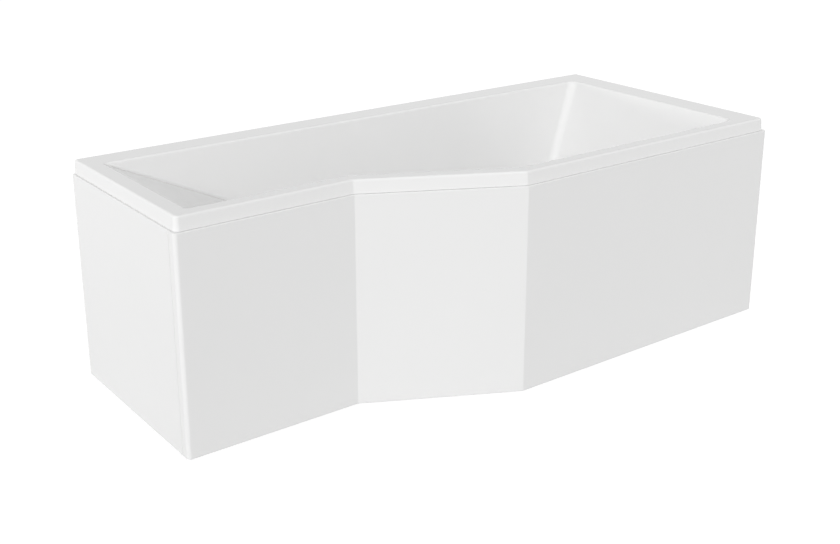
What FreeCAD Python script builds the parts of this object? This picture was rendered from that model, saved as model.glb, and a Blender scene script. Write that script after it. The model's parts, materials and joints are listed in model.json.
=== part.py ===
import FreeCAD, Part
import math
import os

from FreeCAD import Vector

# An asymmetric bath for the corner of a room. Millimetres, +X along the bath to its wide end,
# +Y to the wall behind it, +Z up, with the origin on the floor in the middle of the outline.

# Overall outline: straight back, narrow left end, wide right end, and an apron with two folds
LENGTH = 1700.0
WIDE_DEPTH = 750.0
NARROW_DEPTH = 560.0
FOLD_START = 455.0
FOLD_END = 822.0

# Heights
UNDER_FLOOR = 165.0
BASIN_DEPTH = 405.0

# Acrylic shell: rim, turned-down lip and basin
SHELL_WALL = 5.0
LIP_HEIGHT = 34.0
LIP_DRAFT = 3.0
RIM_STEP = 6.0
RIM_CORNER_R = 14.0
RIM_FOLD_R = 10.0
RIM_EDGE_R = 6.0
LEDGE_LEFT = 50.0
LEDGE_FRONT = 46.0
LEDGE_RIGHT = 94.0
LEDGE_BACK = 78.0
SIDE_LEAN = 40.0
END_LEAN = 170.0
BACKREST_ANGLE = 25.2
BACKREST_FOOT_R = 160.0
BASIN_CORNER_R = 24.0
BASIN_HEAD_R = 60.0
BASIN_FOLD_R = 30.0
BASIN_EDGE_R = 14.0
BASIN_RIM_R = 4.0

# Glass-fibre backing and the board bonded under the floor
BOND = 0.3
GRP_WALL = 3.0
BOARD_THICK = 18.0
BOARD_MARGIN = 40.0
BOARD_END_MARGIN = 20.0

# Battens bonded under the rim
BATTEN_HEIGHT = 24.0
BATTEN_GAP = 0.6

# Leg frame: square tube, posts and flat struts
BAR = 30.0
BAR_WALL = 2.0
LEFT_BAR = 230.0
BAR_TO_BOARD_END = 20.0
RAIL_BACK = 150.0
RAIL_FRONT = 410.0
LEFT_BAR_OVERHANG = 40.0
POST = 20.0
STRUT_THICK = 10.0
PAD_SIDE = 60.0
PAD_THICK = 12.0

# Levelling feet
STUD_R = 5.0
STUD_ABOVE_BAR = 12.0
STUD_CHAMFER = 1.0
STUD_IN_PAD = 16.0
PAD_R = 25.0
PAD_PLATE = 8.0
PAD_EDGE_R = 2.5
PAD_CONE_R = 20.0
PAD_BOSS_R = 12.0
PAD_HEIGHT = 22.0
NUT_FLATS = 17.0
NUT_HEIGHT = 8.0
NUT_SIDES = 6
FOOT_FROM_END = 45.0

# Panels, their flanges and what holds them
PANEL_WALL = 4.0
PANEL_FLANGE = 18.0
PANEL_SEAM = 0.5
PANEL_CORNER_R = 10.0
PANEL_FOLD_R = 7.0
PANEL_EDGE_R = 2.0
PANEL_BACK_GAP = 2.0
CORNER_RETURN = 28.0
END_RETURN = 35.0
JOINT_GAP = 1.2
GLIDE_HEIGHT = 2.0
GLIDE_R = 8.0
GLIDE_STEM_R = 3.0
GLIDE_STEM = 5.0
CLIP_WIDTH = 40.0
CLIP_WALL = 1.5
CLIP_GAP = 0.3
JOINER_REACH = 22.0
JOINER_WALL = 2.0
JOINER_MARGIN = 50.0

# Wall brackets
BRACKET_WALL = 3.0
BRACKET_WIDTH = 50.0
BRACKET_HEIGHT = 80.0
BRACKET_BELOW_RIM = 50.0
BRACKET_HOLE_R = 3.5
BRACKET_HOLE_SPAN = 40.0

# Screws
SCREW_R = 2.0
SCREW_LENGTH = 14.0
SCREW_HEAD_R = 4.0
SCREW_HEAD = 2.5
BOARD_SCREW_R = 2.5
BOARD_SCREW_FROM_SIDE = 40.0
BOARD_SCREW_BITE = 14.0
BOARD_SCREW_HEAD_R = 5.0
BOARD_SCREW_HEAD = 3.0

# Pop-up waste
DRAIN_FROM_FRONT = 190.0
WASTE_HOLE_R = 26.0
WASTE_FLANGE_R = 36.0
WASTE_FLANGE_THICK = 3.0
WASTE_BARREL_R = 24.5
WASTE_BORE_R = 21.0
WASTE_BARREL_LENGTH = 24.0
SPIDER_THICK = 5.0
SPIDER_BAR = 6.0
SPIDER_ARMS = 3
HUB_R = 8.0
STEM_R = 4.0
PLUG_R = 30.0
PLUG_THICK = 5.0
PLUG_EDGE_R = 3.0
PLUG_NECK_R = 12.0
PLUG_SEAL_R = 20.5
PLUG_SEAL_DEPTH = 4.0
PLUG_SEAT_GAP = 0.8
WASTE_SEAL_R = 42.0
WASTE_SEAL_THICK = 3.0
BODY_FLANGE_R = 44.0
BODY_FLANGE_THICK = 6.0
BODY_WALL = 4.0
BODY_DEPTH = 68.0
BODY_FLOOR = 3.0
BOARD_HOLE_R = 50.0
TAIL_R = 20.0
TAIL_WALL = 3.0
TAIL_DIP = 25.0
PORT_BELOW_FLOOR = 52.0
PORT_REACH = 55.0

# Crank that lifts the plug
CRANK_ARM = 13.0
CRANK_SHAFT_R = 3.0
CRANK_HUB_R = 4.0
CRANK_BEARING = 3.0
CRANK_TIP_R = 2.5
CRANK_WIDTH = 8.0
CRANK_GAP = 0.7
CRANK_ABOVE_BODY_FLOOR = 6.0

# Overflow
OVERFLOW_BELOW_RIM = 90.0
OVERFLOW_HOLE_R = 25.0
ROSETTE_R = 33.0
ROSETTE_THICK = 3.0
ROSETTE_TUBE_R = 23.5
ROSETTE_TUBE_WALL = 4.0
ROSETTE_TUBE_LENGTH = 24.0
KNOB_R = 36.0
KNOB_THICK = 9.0
KNOB_EDGE_R = 3.0
KNOB_STAND_OFF = 9.0
KNOB_HUB_R = 10.0
KNOB_GRIP_WIDTH = 10.0
KNOB_GRIP_RISE = 7.0
KNOB_GRIP_REACH = 29.0
KNOB_GRIP_EDGE_R = 3.3
OVERFLOW_SEAL_R = 35.0
OVERFLOW_SEAL_THICK = 3.0
ELBOW_R = 28.0
ELBOW_FLANGE_R = 36.0
ELBOW_FLANGE_THICK = 4.0
ELBOW_DEPTH = 26.0
ELBOW_BACK = 3.0
ELBOW_OUTLET = 58.0

# Overflow pipe, its nuts and the cable beside it
PIPE_R = 12.0
PIPE_WALL = 1.8
SOCKET_WALL = 2.5
PIPE_ENTRY = 25.0
PIPE_BEND_R = 45.0
PIPE_NUT_R = 19.0
PIPE_NUT_LENGTH = 20.0
CABLE_R = 2.5
CABLE_OFFSET = 24.0
CABLE_BOSS_R = 5.0
CABLE_BOSS_LENGTH = 40.0
CABLE_ENTRY = 12.0

# Drum trap and outlet
CUP_R = 46.0
CUP_WALL = 3.0
CUP_BOTTOM = 12.0
CUP_TOP = 82.0
COLLAR_R = 26.0
COLLAR_HEIGHT = 7.0
TRAP_NUT_R = 33.0
TRAP_NUT_LIP = 4.0
CAP_R = 32.0
CAP_THICK = 7.0
CAP_NECK_R = 24.0
CAP_NECK = 5.0
CAP_GRIP_COUNT = 8
CAP_GRIP_R = 4.0
OUTLET_R = 20.0
OUTLET_WALL = 2.5
OUTLET_HEIGHT = 57.0
OUTLET_SOCKET = 45.0
OUTLET_SOCKET_WALL = 4.0
OUTLET_ENTRY = 30.0
OUTLET_FROM_WALL = 25.0
SPIGOT = 60.0
STOP_R = 23.0
STOP_WIDTH = 4.0
OUTLET_NUT_R = 29.0
OUTLET_NUT_LENGTH = 16.0

# Clearances
FIT = 0.3
RUNNING = 0.05
THREAD = 0.2
SCREW_CLEAR = 0.1
OVERCUT = 12.0
PAST = 1.0
TOUCH = 0.001

# Places worked out from the sizes
LEFT = -LENGTH / 2
RIGHT = LENGTH / 2
BACK = WIDE_DEPTH / 2
FRONT = -WIDE_DEPTH / 2
NARROW_FRONT = BACK - NARROW_DEPTH
SLOPE = math.radians(BACKREST_ANGLE)
RIM_TOP = UNDER_FLOOR + BASIN_DEPTH
LIP_BOTTOM = RIM_TOP - LIP_HEIGHT
PANEL_TOP = LIP_BOTTOM - PANEL_SEAM
FLANGE_BOTTOM = PANEL_TOP - PANEL_WALL
FLANGE_INNER = PANEL_WALL + PANEL_FLANGE
BATTEN_BOTTOM = RIM_TOP - SHELL_WALL - BATTEN_HEIGHT
BACKING = SHELL_WALL + BOND + GRP_WALL
LIP_ROUNDING = (RIM_CORNER_R - SHELL_WALL) * (1 - math.sqrt(0.5))
BATTEN_OUTER = RIM_STEP + LIP_DRAFT + SHELL_WALL + LIP_ROUNDING + BATTEN_GAP
BATTEN_INNER = LEDGE_FRONT - BACKING * math.hypot(1, SIDE_LEAN / BASIN_DEPTH) - BATTEN_GAP
BOARD_TOP = UNDER_FLOOR - BACKING
BAR_TOP = BOARD_TOP - BOARD_THICK
BAR_BOTTOM = BAR_TOP - BAR
BACKREST_TOP_X = LEFT + LEDGE_LEFT
BACKREST_FOOT_X = BACKREST_TOP_X + BASIN_DEPTH / math.tan(SLOPE)
FLOOR_RIGHT = RIGHT - LEDGE_RIGHT - END_LEAN
FLOOR_BACK = BACK - LEDGE_BACK - SIDE_LEAN
FLOOR_FRONT = FRONT + LEDGE_FRONT + SIDE_LEAN
BOARD_LEFT = BACKREST_FOOT_X + BOARD_MARGIN
BOARD_RIGHT = FLOOR_RIGHT - BOARD_END_MARGIN
LEFT_BAR_X = LEFT + LEFT_BAR
MID_BAR_X = BOARD_LEFT + BAR_TO_BOARD_END
RIGHT_BAR_X = BOARD_RIGHT - BAR_TO_BOARD_END
RAIL_YS = (BACK - RAIL_BACK, BACK - RAIL_FRONT)
LONG_BAR_BACK = BACK - BATTEN_OUTER
LONG_BAR_FRONT = FRONT + BATTEN_INNER
POST_Y = BACK - BATTEN_OUTER - POST / 2
SEAM_Y = NARROW_FRONT + CORNER_RETURN
DRAIN_X = (MID_BAR_X + RIGHT_BAR_X) / 2
DRAIN_Y = FRONT + DRAIN_FROM_FRONT
SEAL_BOTTOM = BOARD_TOP - WASTE_SEAL_THICK
BODY_R = WASTE_BARREL_R + THREAD + BODY_WALL
BODY_BOTTOM = UNDER_FLOOR - BODY_DEPTH
PORT_Z = UNDER_FLOOR - PORT_BELOW_FLOOR
SOCKET_BORE_R = PIPE_R + THREAD
SOCKET_R = SOCKET_BORE_R + SOCKET_WALL
CRANK_Y = DRAIN_Y - CRANK_ARM
CRANK_Z = BODY_BOTTOM + BODY_FLOOR + CRANK_ABOVE_BODY_FLOOR
WALL_ANGLE = math.atan2(SIDE_LEAN, BASIN_DEPTH)
OVERFLOW_Y = FRONT + LEDGE_FRONT + SIDE_LEAN * OVERFLOW_BELOW_RIM / BASIN_DEPTH
OVERFLOW_Z = RIM_TOP - OVERFLOW_BELOW_RIM
OVERFLOW_BASE = Vector(DRAIN_X, OVERFLOW_Y, OVERFLOW_Z)
OVERFLOW_AXIS = Vector(0, math.cos(WALL_ANGLE), math.sin(WALL_ANGLE))
ELBOW_FACE = -BACKING - OVERFLOW_SEAL_THICK
ELBOW_MID = ELBOW_FACE - ELBOW_FLANGE_THICK - ELBOW_DEPTH / 2
ELBOW_CENTRE = OVERFLOW_BASE + OVERFLOW_AXIS * ELBOW_MID
ELBOW_END_Z = ELBOW_CENTRE.z - ELBOW_OUTLET
PORT_END_Y = DRAIN_Y - PORT_REACH
CLIP_LEG = FLANGE_INNER + CLIP_WALL
CLIP_SCREW = (CLIP_LEG + CLIP_WALL + BATTEN_INNER) / 2

# Sides of the outline, counter-clockwise from the left end
LEFT_SIDE, NARROW_SIDE, SLANT_SIDE, WIDE_SIDE, RIGHT_SIDE, BACK_SIDE = range(6)
INWARD_FOLD = SLANT_SIDE

# Share of its side at which each panel clip and each panel glide sits
CLIP_PLACES = [(LEFT_SIDE, 0.25), (LEFT_SIDE, 0.75), (NARROW_SIDE, 0.5), (SLANT_SIDE, 0.5),
               (WIDE_SIDE, 0.35), (WIDE_SIDE, 0.85)]
GLIDE_PLACES = [(LEFT_SIDE, 0.12), (LEFT_SIDE, 0.8), (NARROW_SIDE, 0.2), (SLANT_SIDE, 0.1),
                (WIDE_SIDE, 0.08), (WIDE_SIDE, 0.5), (WIDE_SIDE, 0.92)]


def outline(left, front, right, back):
    """Corners of the outline with each side moved in by its own distance."""
    run = FOLD_END - FOLD_START
    fall = FRONT - NARROW_FRONT
    slant = math.hypot(run, fall)
    start_x = LEFT + FOLD_START - fall / slant * front
    start_y = NARROW_FRONT + run / slant * front
    narrow_y = NARROW_FRONT + front
    wide_y = FRONT + front
    fold_in = start_x + (narrow_y - start_y) * run / fall
    fold_out = start_x + (wide_y - start_y) * run / fall
    left_x = LEFT + left
    right_x = RIGHT - right
    back_y = BACK - back
    return [(left_x, back_y), (left_x, narrow_y), (fold_in, narrow_y),
            (fold_out, wide_y), (right_x, wide_y), (right_x, back_y)]


def inset_radii(radii, inset):
    """Corner radii of an outline moved in: smaller, but larger at the inward fold."""
    moved = [max(r - inset, 0) for r in radii]
    moved[INWARD_FOLD] = radii[INWARD_FOLD] + inset
    return moved


def rounded(points, radii, z):
    """Closed wire through the points at one height, with its corners rounded."""
    starts, middles, ends = [], [], []
    count = len(points)
    for i, radius in enumerate(radii):
        corner = Vector(*points[i], z)
        before = (Vector(*points[i - 1], z) - corner).normalize()
        after = (Vector(*points[(i + 1) % count], z) - corner).normalize()
        half = before.getAngle(after) / 2
        bisector = (before + after).normalize()
        starts.append(corner + before * (radius / math.tan(half)))
        ends.append(corner + after * (radius / math.tan(half)))
        middles.append(corner + bisector * (radius / math.sin(half) - radius))
    edges = []
    for i, radius in enumerate(radii):
        if radius > 0:
            edges.append(Part.Arc(starts[i], middles[i], ends[i]).toShape())
        edges.append(Part.LineSegment(ends[i], starts[(i + 1) % count]).toShape())
    return Part.Wire(edges)


def prism(points, radii, low, high):
    """Upright solid over a rounded outline."""
    return Part.Face(rounded(points, radii, low)).extrude(Vector(0, 0, high - low))


def taper(low_points, high_points, radii, low, high):
    """Solid between two rounded outlines whose sides are parallel."""
    wires = [rounded(low_points, radii, low), rounded(high_points, radii, high)]
    return Part.makeLoft(wires, True, True)


def box(x0, x1, y0, y1, z0, z1):
    """Upright box between two corners."""
    return Part.makeBox(x1 - x0, y1 - y0, z1 - z0, Vector(x0, y0, z0))


def rod(radius, start, end):
    """Round rod from one point to another."""
    way = end - start
    return Part.makeCylinder(radius, way.Length, start, way)


def ring(outer, inner, start, end):
    """Round tube from one point to another."""
    way = (end - start).normalize()
    bore = rod(inner, start - way, end + way)
    return rod(outer, start, end).cut(bore)


def upright(x, y, low, high):
    """Two points, one above the other."""
    return Vector(x, y, low), Vector(x, y, high)


def side_place(side, share, inset):
    """Point on a side moved in by inset, and the turn that lays X along it and Y inwards."""
    points = outline(inset, inset, inset, inset)
    start = Vector(*points[side], 0)
    end = Vector(*points[(side + 1) % len(points)], 0)
    turn = math.degrees(math.atan2(end.y - start.y, end.x - start.x))
    return FreeCAD.Placement(start + (end - start) * share, FreeCAD.Rotation(turn, 0, 0))


def is_level(edge, z):
    """Whether an edge lies at one height."""
    return all(abs(vertex.Z - z) < TOUCH for vertex in edge.Vertexes)


def edges_at(shape, z):
    """Edges of a shape that lie at one height."""
    return [edge for edge in shape.Edges if is_level(edge, z)]


def walls_at(z, grow):
    """Outline of the basin's walls at a height, grown outwards by a thickness."""
    share = (RIM_TOP - z) / BASIN_DEPTH
    side_grow = grow * math.hypot(1, SIDE_LEAN / BASIN_DEPTH)
    end_grow = grow * math.hypot(1, END_LEAN / BASIN_DEPTH)
    front = LEDGE_FRONT + SIDE_LEAN * share - side_grow
    right = LEDGE_RIGHT + END_LEAN * share - end_grow
    back = LEDGE_BACK + SIDE_LEAN * share - side_grow
    return outline(RIM_STEP - grow, front, right, back)


def bed(grow):
    """Everything below the backrest and the floor, both moved down by a thickness."""
    drop = grow / math.cos(SLOPE)
    floor = UNDER_FLOOR - grow
    fold_x = BACKREST_TOP_X + (RIM_TOP - drop - floor) / math.tan(SLOPE)
    radius = BACKREST_FOOT_R + grow
    tangent = radius * math.tan(SLOPE / 2)
    far_left = LEFT - BASIN_DEPTH
    far_right = RIGHT + BASIN_DEPTH
    deep = floor - BASIN_DEPTH
    top_z = RIM_TOP - drop + math.tan(SLOPE) * (BACKREST_TOP_X - far_left)
    arc_start = Vector(fold_x - tangent * math.cos(SLOPE), 0, floor + tangent * math.sin(SLOPE))
    arc_end = Vector(fold_x + tangent, 0, floor)
    towards = Vector(-math.sin(SLOPE / 2), 0, -math.cos(SLOPE / 2))
    arc_middle = arc_end + Vector(0, 0, radius) + towards * radius
    corners = [arc_end, Vector(far_right, 0, floor), Vector(far_right, 0, deep),
               Vector(far_left, 0, deep), Vector(far_left, 0, top_z), arc_start]
    edges = [Part.Arc(arc_start, arc_middle, arc_end).toShape()]
    for start, end in zip(corners, corners[1:]):
        edges.append(Part.LineSegment(start, end).toShape())
    face = Part.Face(Part.Wire(edges))
    face.translate(Vector(0, FRONT, 0))
    return face.extrude(Vector(0, WIDE_DEPTH, 0))


def basin(grow, top):
    """The basin's space up to a height, grown outwards by a thickness, with its edges rounded."""
    low = UNDER_FLOOR - grow - OVERCUT
    head = BASIN_HEAD_R + grow
    foot = BASIN_CORNER_R + grow
    radii = [head, head, BASIN_FOLD_R - grow, BASIN_FOLD_R + grow, foot, foot]
    ground = bed(grow)
    space = taper(walls_at(low, grow), walls_at(top, grow), radii, low, top).cut(ground)

    def on_bed(face):
        return all(ground.isInside(vertex.Point, TOUCH, True) for vertex in face.Vertexes)

    def meets_wall(edge):
        return [on_bed(face) for face in space.ancestorsOfType(edge, Part.Face)].count(True) == 1

    rims = [edge for edge in space.Edges if meets_wall(edge) and not is_level(edge, top)]
    return space.makeFillet(BASIN_EDGE_R + grow, rims)


def waste_hole(radius):
    """Upright hole at the drain."""
    return rod(radius, *upright(DRAIN_X, DRAIN_Y, 0, RIM_TOP))


def overflow_rod(radius, start, end):
    """Rod on the overflow's axis, measured from the basin's wall into the basin."""
    return rod(radius, OVERFLOW_BASE + OVERFLOW_AXIS * start, OVERFLOW_BASE + OVERFLOW_AXIS * end)


def overflow_ring(outer, inner, start, end):
    """Tube on the overflow's axis."""
    return overflow_rod(outer, start, end).cut(overflow_rod(inner, start - PAST, end + PAST))


def at_overflow(shape):
    """Shape made about Z, turned on to the overflow's axis."""
    placed = shape.copy()
    turn = FreeCAD.Rotation(Vector(0, 0, 1), OVERFLOW_AXIS)
    placed.Placement = FreeCAD.Placement(OVERFLOW_BASE, turn)
    return placed


def basin_mouth(skin):
    """Edges where the rim's top turns down into the basin."""
    box_in = outline(LEDGE_LEFT, LEDGE_FRONT, LEDGE_RIGHT, LEDGE_BACK)
    reach = prism(box_in, [0] * len(box_in), RIM_TOP - PAST, RIM_TOP + PAST)
    return [edge for edge in edges_at(skin, RIM_TOP) if reach.isInside(edge.CenterOfMass, PAST, True)]


def bath_shell():
    """Rim with its lip and the basin, one skin with holes for the waste and the overflow."""
    radii = [RIM_CORNER_R, RIM_CORNER_R, RIM_FOLD_R, RIM_FOLD_R, RIM_CORNER_R, RIM_CORNER_R]
    high_step = RIM_STEP + LIP_DRAFT
    low = outline(RIM_STEP, RIM_STEP, RIM_STEP, 0)
    high = outline(high_step, high_step, high_step, 0)
    block = taper(low, high, radii, LIP_BOTTOM, RIM_TOP)
    block = block.makeFillet(RIM_EDGE_R, edges_at(block, RIM_TOP))
    low_in = RIM_STEP + SHELL_WALL
    high_in = high_step + SHELL_WALL
    low_inside = outline(low_in, low_in, low_in, SHELL_WALL)
    high_inside = outline(high_in, high_in, high_in, SHELL_WALL)
    inside_radii = inset_radii(radii, SHELL_WALL)
    hollow = taper(low_inside, high_inside, inside_radii, LIP_BOTTOM, RIM_TOP - SHELL_WALL)
    skin = block.cut(hollow).fuse(basin(SHELL_WALL, RIM_TOP - SHELL_WALL / 2))
    skin = skin.cut(basin(0, RIM_TOP + OVERCUT))
    skin = skin.makeFillet(BASIN_RIM_R, basin_mouth(skin))
    skin = skin.cut(waste_hole(WASTE_HOLE_R))
    return skin.cut(overflow_rod(OVERFLOW_HOLE_R, -BACKING - PAST, PAST))


def grp_backing():
    """Glass-fibre layer on the basin's underside."""
    top = RIM_TOP - SHELL_WALL - BOND
    layer = basin(BACKING, top).cut(basin(SHELL_WALL + BOND, top))
    layer = layer.cut(waste_hole(WASTE_HOLE_R))
    return layer.cut(overflow_rod(OVERFLOW_HOLE_R, -BACKING - PAST, PAST))


def board_screw_places():
    """Where screws go up through the two long crossbars into the board."""
    inset = BOARD_MARGIN + BOARD_SCREW_FROM_SIDE
    ys = (FLOOR_BACK - inset, FLOOR_FRONT + inset)
    return [(x, y) for x in (MID_BAR_X, RIGHT_BAR_X) for y in ys]


def base_board():
    """Board bonded under the flat of the floor, cut out round the waste."""
    board = box(BOARD_LEFT, BOARD_RIGHT, FLOOR_FRONT + BOARD_MARGIN, FLOOR_BACK - BOARD_MARGIN,
                BAR_TOP, BOARD_TOP)
    board = board.cut(waste_hole(BOARD_HOLE_R))
    for x, y in board_screw_places():
        pilot = upright(x, y, BAR_TOP, BAR_TOP + BOARD_SCREW_BITE)
        board = board.cut(rod(BOARD_SCREW_R + SCREW_CLEAR, *pilot))
    return board


def board_screws():
    """Screws that hold the crossbars to the board."""
    screws = []
    for x, y in board_screw_places():
        shank = rod(BOARD_SCREW_R, *upright(x, y, BAR_BOTTOM, BAR_TOP + BOARD_SCREW_BITE))
        head = rod(BOARD_SCREW_HEAD_R, *upright(x, y, BAR_BOTTOM - BOARD_SCREW_HEAD, BAR_BOTTOM))
        screws.append(shank.fuse(head).removeSplitter())
    return Part.makeCompound(screws)


def rim_batten(side):
    """Batten under one side of the rim, mitred to its neighbours."""
    outer = outline(BATTEN_OUTER, BATTEN_OUTER, BATTEN_OUTER, BATTEN_OUTER)
    inner = outline(BATTEN_INNER, BATTEN_INNER, BATTEN_INNER, BATTEN_INNER)
    after = (side + 1) % len(outer)
    corners = [outer[side], outer[after], inner[after], inner[side]]
    batten = prism(corners, [0] * len(corners), BATTEN_BOTTOM, RIM_TOP - SHELL_WALL)
    for place_side, share in CLIP_PLACES:
        if place_side == side:
            ends = upright(0, CLIP_SCREW, BATTEN_BOTTOM, BATTEN_BOTTOM + SCREW_LENGTH)
            pilot = rod(SCREW_R + SCREW_CLEAR, *ends)
            pilot.Placement = side_place(side, share, 0)
            batten = batten.cut(pilot)
    return batten


def panel_clip():
    """Bent strip under a batten, whose hook carries a panel's top flange."""
    hook_top = FLANGE_BOTTOM - CLIP_GAP
    half = CLIP_WIDTH / 2
    leg_back = CLIP_LEG + CLIP_WALL
    hook = box(-half, half, PANEL_WALL + FIT, leg_back, hook_top - CLIP_WALL, hook_top)
    leg = box(-half, half, CLIP_LEG, leg_back, hook_top - CLIP_WALL, BATTEN_BOTTOM)
    foot = box(-half, half, CLIP_LEG, BATTEN_INNER, BATTEN_BOTTOM - CLIP_WALL, BATTEN_BOTTOM)
    hole = rod(SCREW_R + SCREW_CLEAR, *upright(0, CLIP_SCREW, hook_top, BATTEN_BOTTOM))
    return hook.fuse([leg, foot]).removeSplitter().cut(hole)


def panel_clips():
    """A clip at each of its places."""
    clips = []
    for side, share in CLIP_PLACES:
        clip = panel_clip()
        clip.Placement = side_place(side, share, 0)
        clips.append(clip)
    return Part.makeCompound(clips)


def small_screw(start, end):
    """Pan-head screw: the head stands behind the start, the shank runs to the end."""
    way = (end - start).normalize()
    head = rod(SCREW_HEAD_R, start - way * SCREW_HEAD, start)
    return head.fuse(rod(SCREW_R, start, end)).removeSplitter()


def bracket_screw_heights():
    """Heights of the screws that hold a wall bracket to its post."""
    middle = RIM_TOP - BRACKET_BELOW_RIM - BRACKET_HEIGHT / 2
    return (middle - BRACKET_HOLE_SPAN / 2, middle + BRACKET_HOLE_SPAN / 2)


def small_screws():
    """Screws of the panel clips and of the wall brackets."""
    screws = []
    for side, share in CLIP_PLACES:
        foot = Vector(0, CLIP_SCREW, BATTEN_BOTTOM - CLIP_WALL)
        screw = small_screw(foot, foot + Vector(0, 0, SCREW_LENGTH + CLIP_WALL))
        screw.Placement = side_place(side, share, 0)
        screws.append(screw)
    for x in (MID_BAR_X, RIGHT_BAR_X):
        for z in bracket_screw_heights():
            start = Vector(x + POST / 2 + BRACKET_WALL, POST_Y, z)
            screws.append(small_screw(start, start - Vector(BRACKET_WALL + SCREW_LENGTH / 2, 0, 0)))
    return Part.makeCompound(screws)


def tube_y(x, y0, y1):
    """Square tube of the leg frame, front to back."""
    half = BAR / 2
    hollow = half - BAR_WALL
    outside = box(x - half, x + half, y0, y1, BAR_BOTTOM, BAR_TOP)
    return outside.cut(box(x - hollow, x + hollow, y0, y1, BAR_BOTTOM + BAR_WALL, BAR_TOP - BAR_WALL))


def tube_x(y, x0, x1):
    """Square tube of the leg frame, along the bath."""
    half = BAR / 2
    hollow = half - BAR_WALL
    outside = box(x0, x1, y - half, y + half, BAR_BOTTOM, BAR_TOP)
    return outside.cut(box(x0, x1, y - hollow, y + hollow, BAR_BOTTOM + BAR_WALL, BAR_TOP - BAR_WALL))


def foot_places():
    """Name and place of each levelling foot."""
    ends = (LONG_BAR_BACK - FOOT_FROM_END, LONG_BAR_FRONT + FOOT_FROM_END)
    bars = {"left": (LEFT_BAR_X, RAIL_YS), "mid": (MID_BAR_X, ends), "right": (RIGHT_BAR_X, ends)}
    places = {}
    for name, (x, (back_y, front_y)) in bars.items():
        places["back_" + name] = (x, back_y)
        places["front_" + name] = (x, front_y)
    return places


def crossbar(x, y_front, y_back):
    """Crossbar with holes for its feet and for the board's screws."""
    bar = tube_y(x, y_front, y_back)
    for foot_x, foot_y in foot_places().values():
        if foot_x == x:
            bar = bar.cut(rod(STUD_R + FIT, *upright(foot_x, foot_y, BAR_BOTTOM, BAR_BOTTOM + BAR / 2)))
    for screw_x, screw_y in board_screw_places():
        if screw_x == x:
            bar = bar.cut(rod(BOARD_SCREW_R + SCREW_CLEAR, *upright(x, screw_y, BAR_BOTTOM, BAR_TOP)))
    return bar


def rail(y):
    """Two lengths of tube that join the three crossbars."""
    half = BAR / 2
    spans = ((LEFT_BAR_X, MID_BAR_X), (MID_BAR_X, RIGHT_BAR_X))
    return Part.makeCompound([tube_x(y, start + half, end - half) for start, end in spans])


def backrest_post(y):
    """Post on the left crossbar, cut to the backrest's slope under its pad."""
    half = BAR / 2
    hollow = half - BAR_WALL
    post = box(LEFT_BAR_X - half, LEFT_BAR_X + half, y - half, y + half, BAR_TOP, RIM_TOP)
    post = post.cut(box(LEFT_BAR_X - hollow, LEFT_BAR_X + hollow, y - hollow, y + hollow, BAR_TOP, RIM_TOP))
    return post.common(bed(BACKING + PAD_THICK))


def backrest_pads():
    """Sloping pads between the posts and the backing."""
    half = PAD_SIDE / 2
    pads = []
    for y in RAIL_YS:
        block = box(LEFT_BAR_X - half, LEFT_BAR_X + half, y - half, y + half, BAR_TOP, RIM_TOP)
        pads.append(block.common(bed(BACKING)).cut(bed(BACKING + PAD_THICK)))
    return Part.makeCompound(pads)


def back_posts():
    """Posts from the long crossbars to the batten behind."""
    half = POST / 2
    hollow = half - BAR_WALL
    posts = []
    for x in (MID_BAR_X, RIGHT_BAR_X):
        post = box(x - half, x + half, POST_Y - half, POST_Y + half, BAR_TOP, BATTEN_BOTTOM)
        post = post.cut(box(x - hollow, x + hollow, POST_Y - hollow, POST_Y + hollow, BAR_TOP, BATTEN_BOTTOM))
        for z in bracket_screw_heights():
            side = Vector(x + half, POST_Y, z)
            post = post.cut(rod(SCREW_R + SCREW_CLEAR, side, side - Vector(half, 0, 0)))
        posts.append(post)
    return Part.makeCompound(posts)


def front_struts():
    """Flat bars from the long crossbars' front ends to the batten in front."""
    half = BAR / 2
    front = LONG_BAR_FRONT - STRUT_THICK
    struts = []
    for x in (MID_BAR_X, RIGHT_BAR_X):
        struts.append(box(x - half, x + half, front, LONG_BAR_FRONT, BAR_BOTTOM, BATTEN_BOTTOM))
    return Part.makeCompound(struts)


def wall_bracket(x):
    """Angle on a post's side, with two holes for screws into the wall behind."""
    side = x + POST / 2
    top = RIM_TOP - BRACKET_BELOW_RIM
    bottom = top - BRACKET_HEIGHT
    plate = box(side, side + BRACKET_WIDTH, BACK - BRACKET_WALL, BACK, bottom, top)
    leg = box(side, side + BRACKET_WALL, POST_Y - POST / 2, BACK, bottom, top)
    angle = plate.fuse(leg).removeSplitter()
    hole_x = side + (BRACKET_WALL + BRACKET_WIDTH) / 2
    for z in bracket_screw_heights():
        wall_face = Vector(hole_x, BACK, z)
        post_face = Vector(side, POST_Y, z)
        angle = angle.cut(rod(BRACKET_HOLE_R, wall_face - Vector(0, BRACKET_WALL, 0), wall_face))
        angle = angle.cut(rod(SCREW_R + SCREW_CLEAR, post_face, post_face + Vector(BRACKET_WALL, 0, 0)))
    return angle


def foot_stud(x, y):
    """Threaded stud of a levelling foot."""
    low = PAD_HEIGHT - STUD_IN_PAD
    high = BAR_BOTTOM + BAR_WALL + STUD_ABOVE_BAR
    stud = rod(STUD_R, *upright(x, y, low, high))
    return stud.makeChamfer(STUD_CHAMFER, edges_at(stud, high))


def foot_pad(x, y):
    """Round pad with a socket for its stud."""
    plate = rod(PAD_R, *upright(x, y, 0, PAD_PLATE))
    plate = plate.makeFillet(PAD_EDGE_R, edges_at(plate, PAD_PLATE))
    boss = Part.makeCone(PAD_CONE_R, PAD_BOSS_R, PAD_HEIGHT - PAD_PLATE, Vector(x, y, PAD_PLATE))
    socket = rod(STUD_R + RUNNING, *upright(x, y, PAD_HEIGHT - STUD_IN_PAD, PAD_HEIGHT))
    return plate.fuse(boss).cut(socket)


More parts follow.
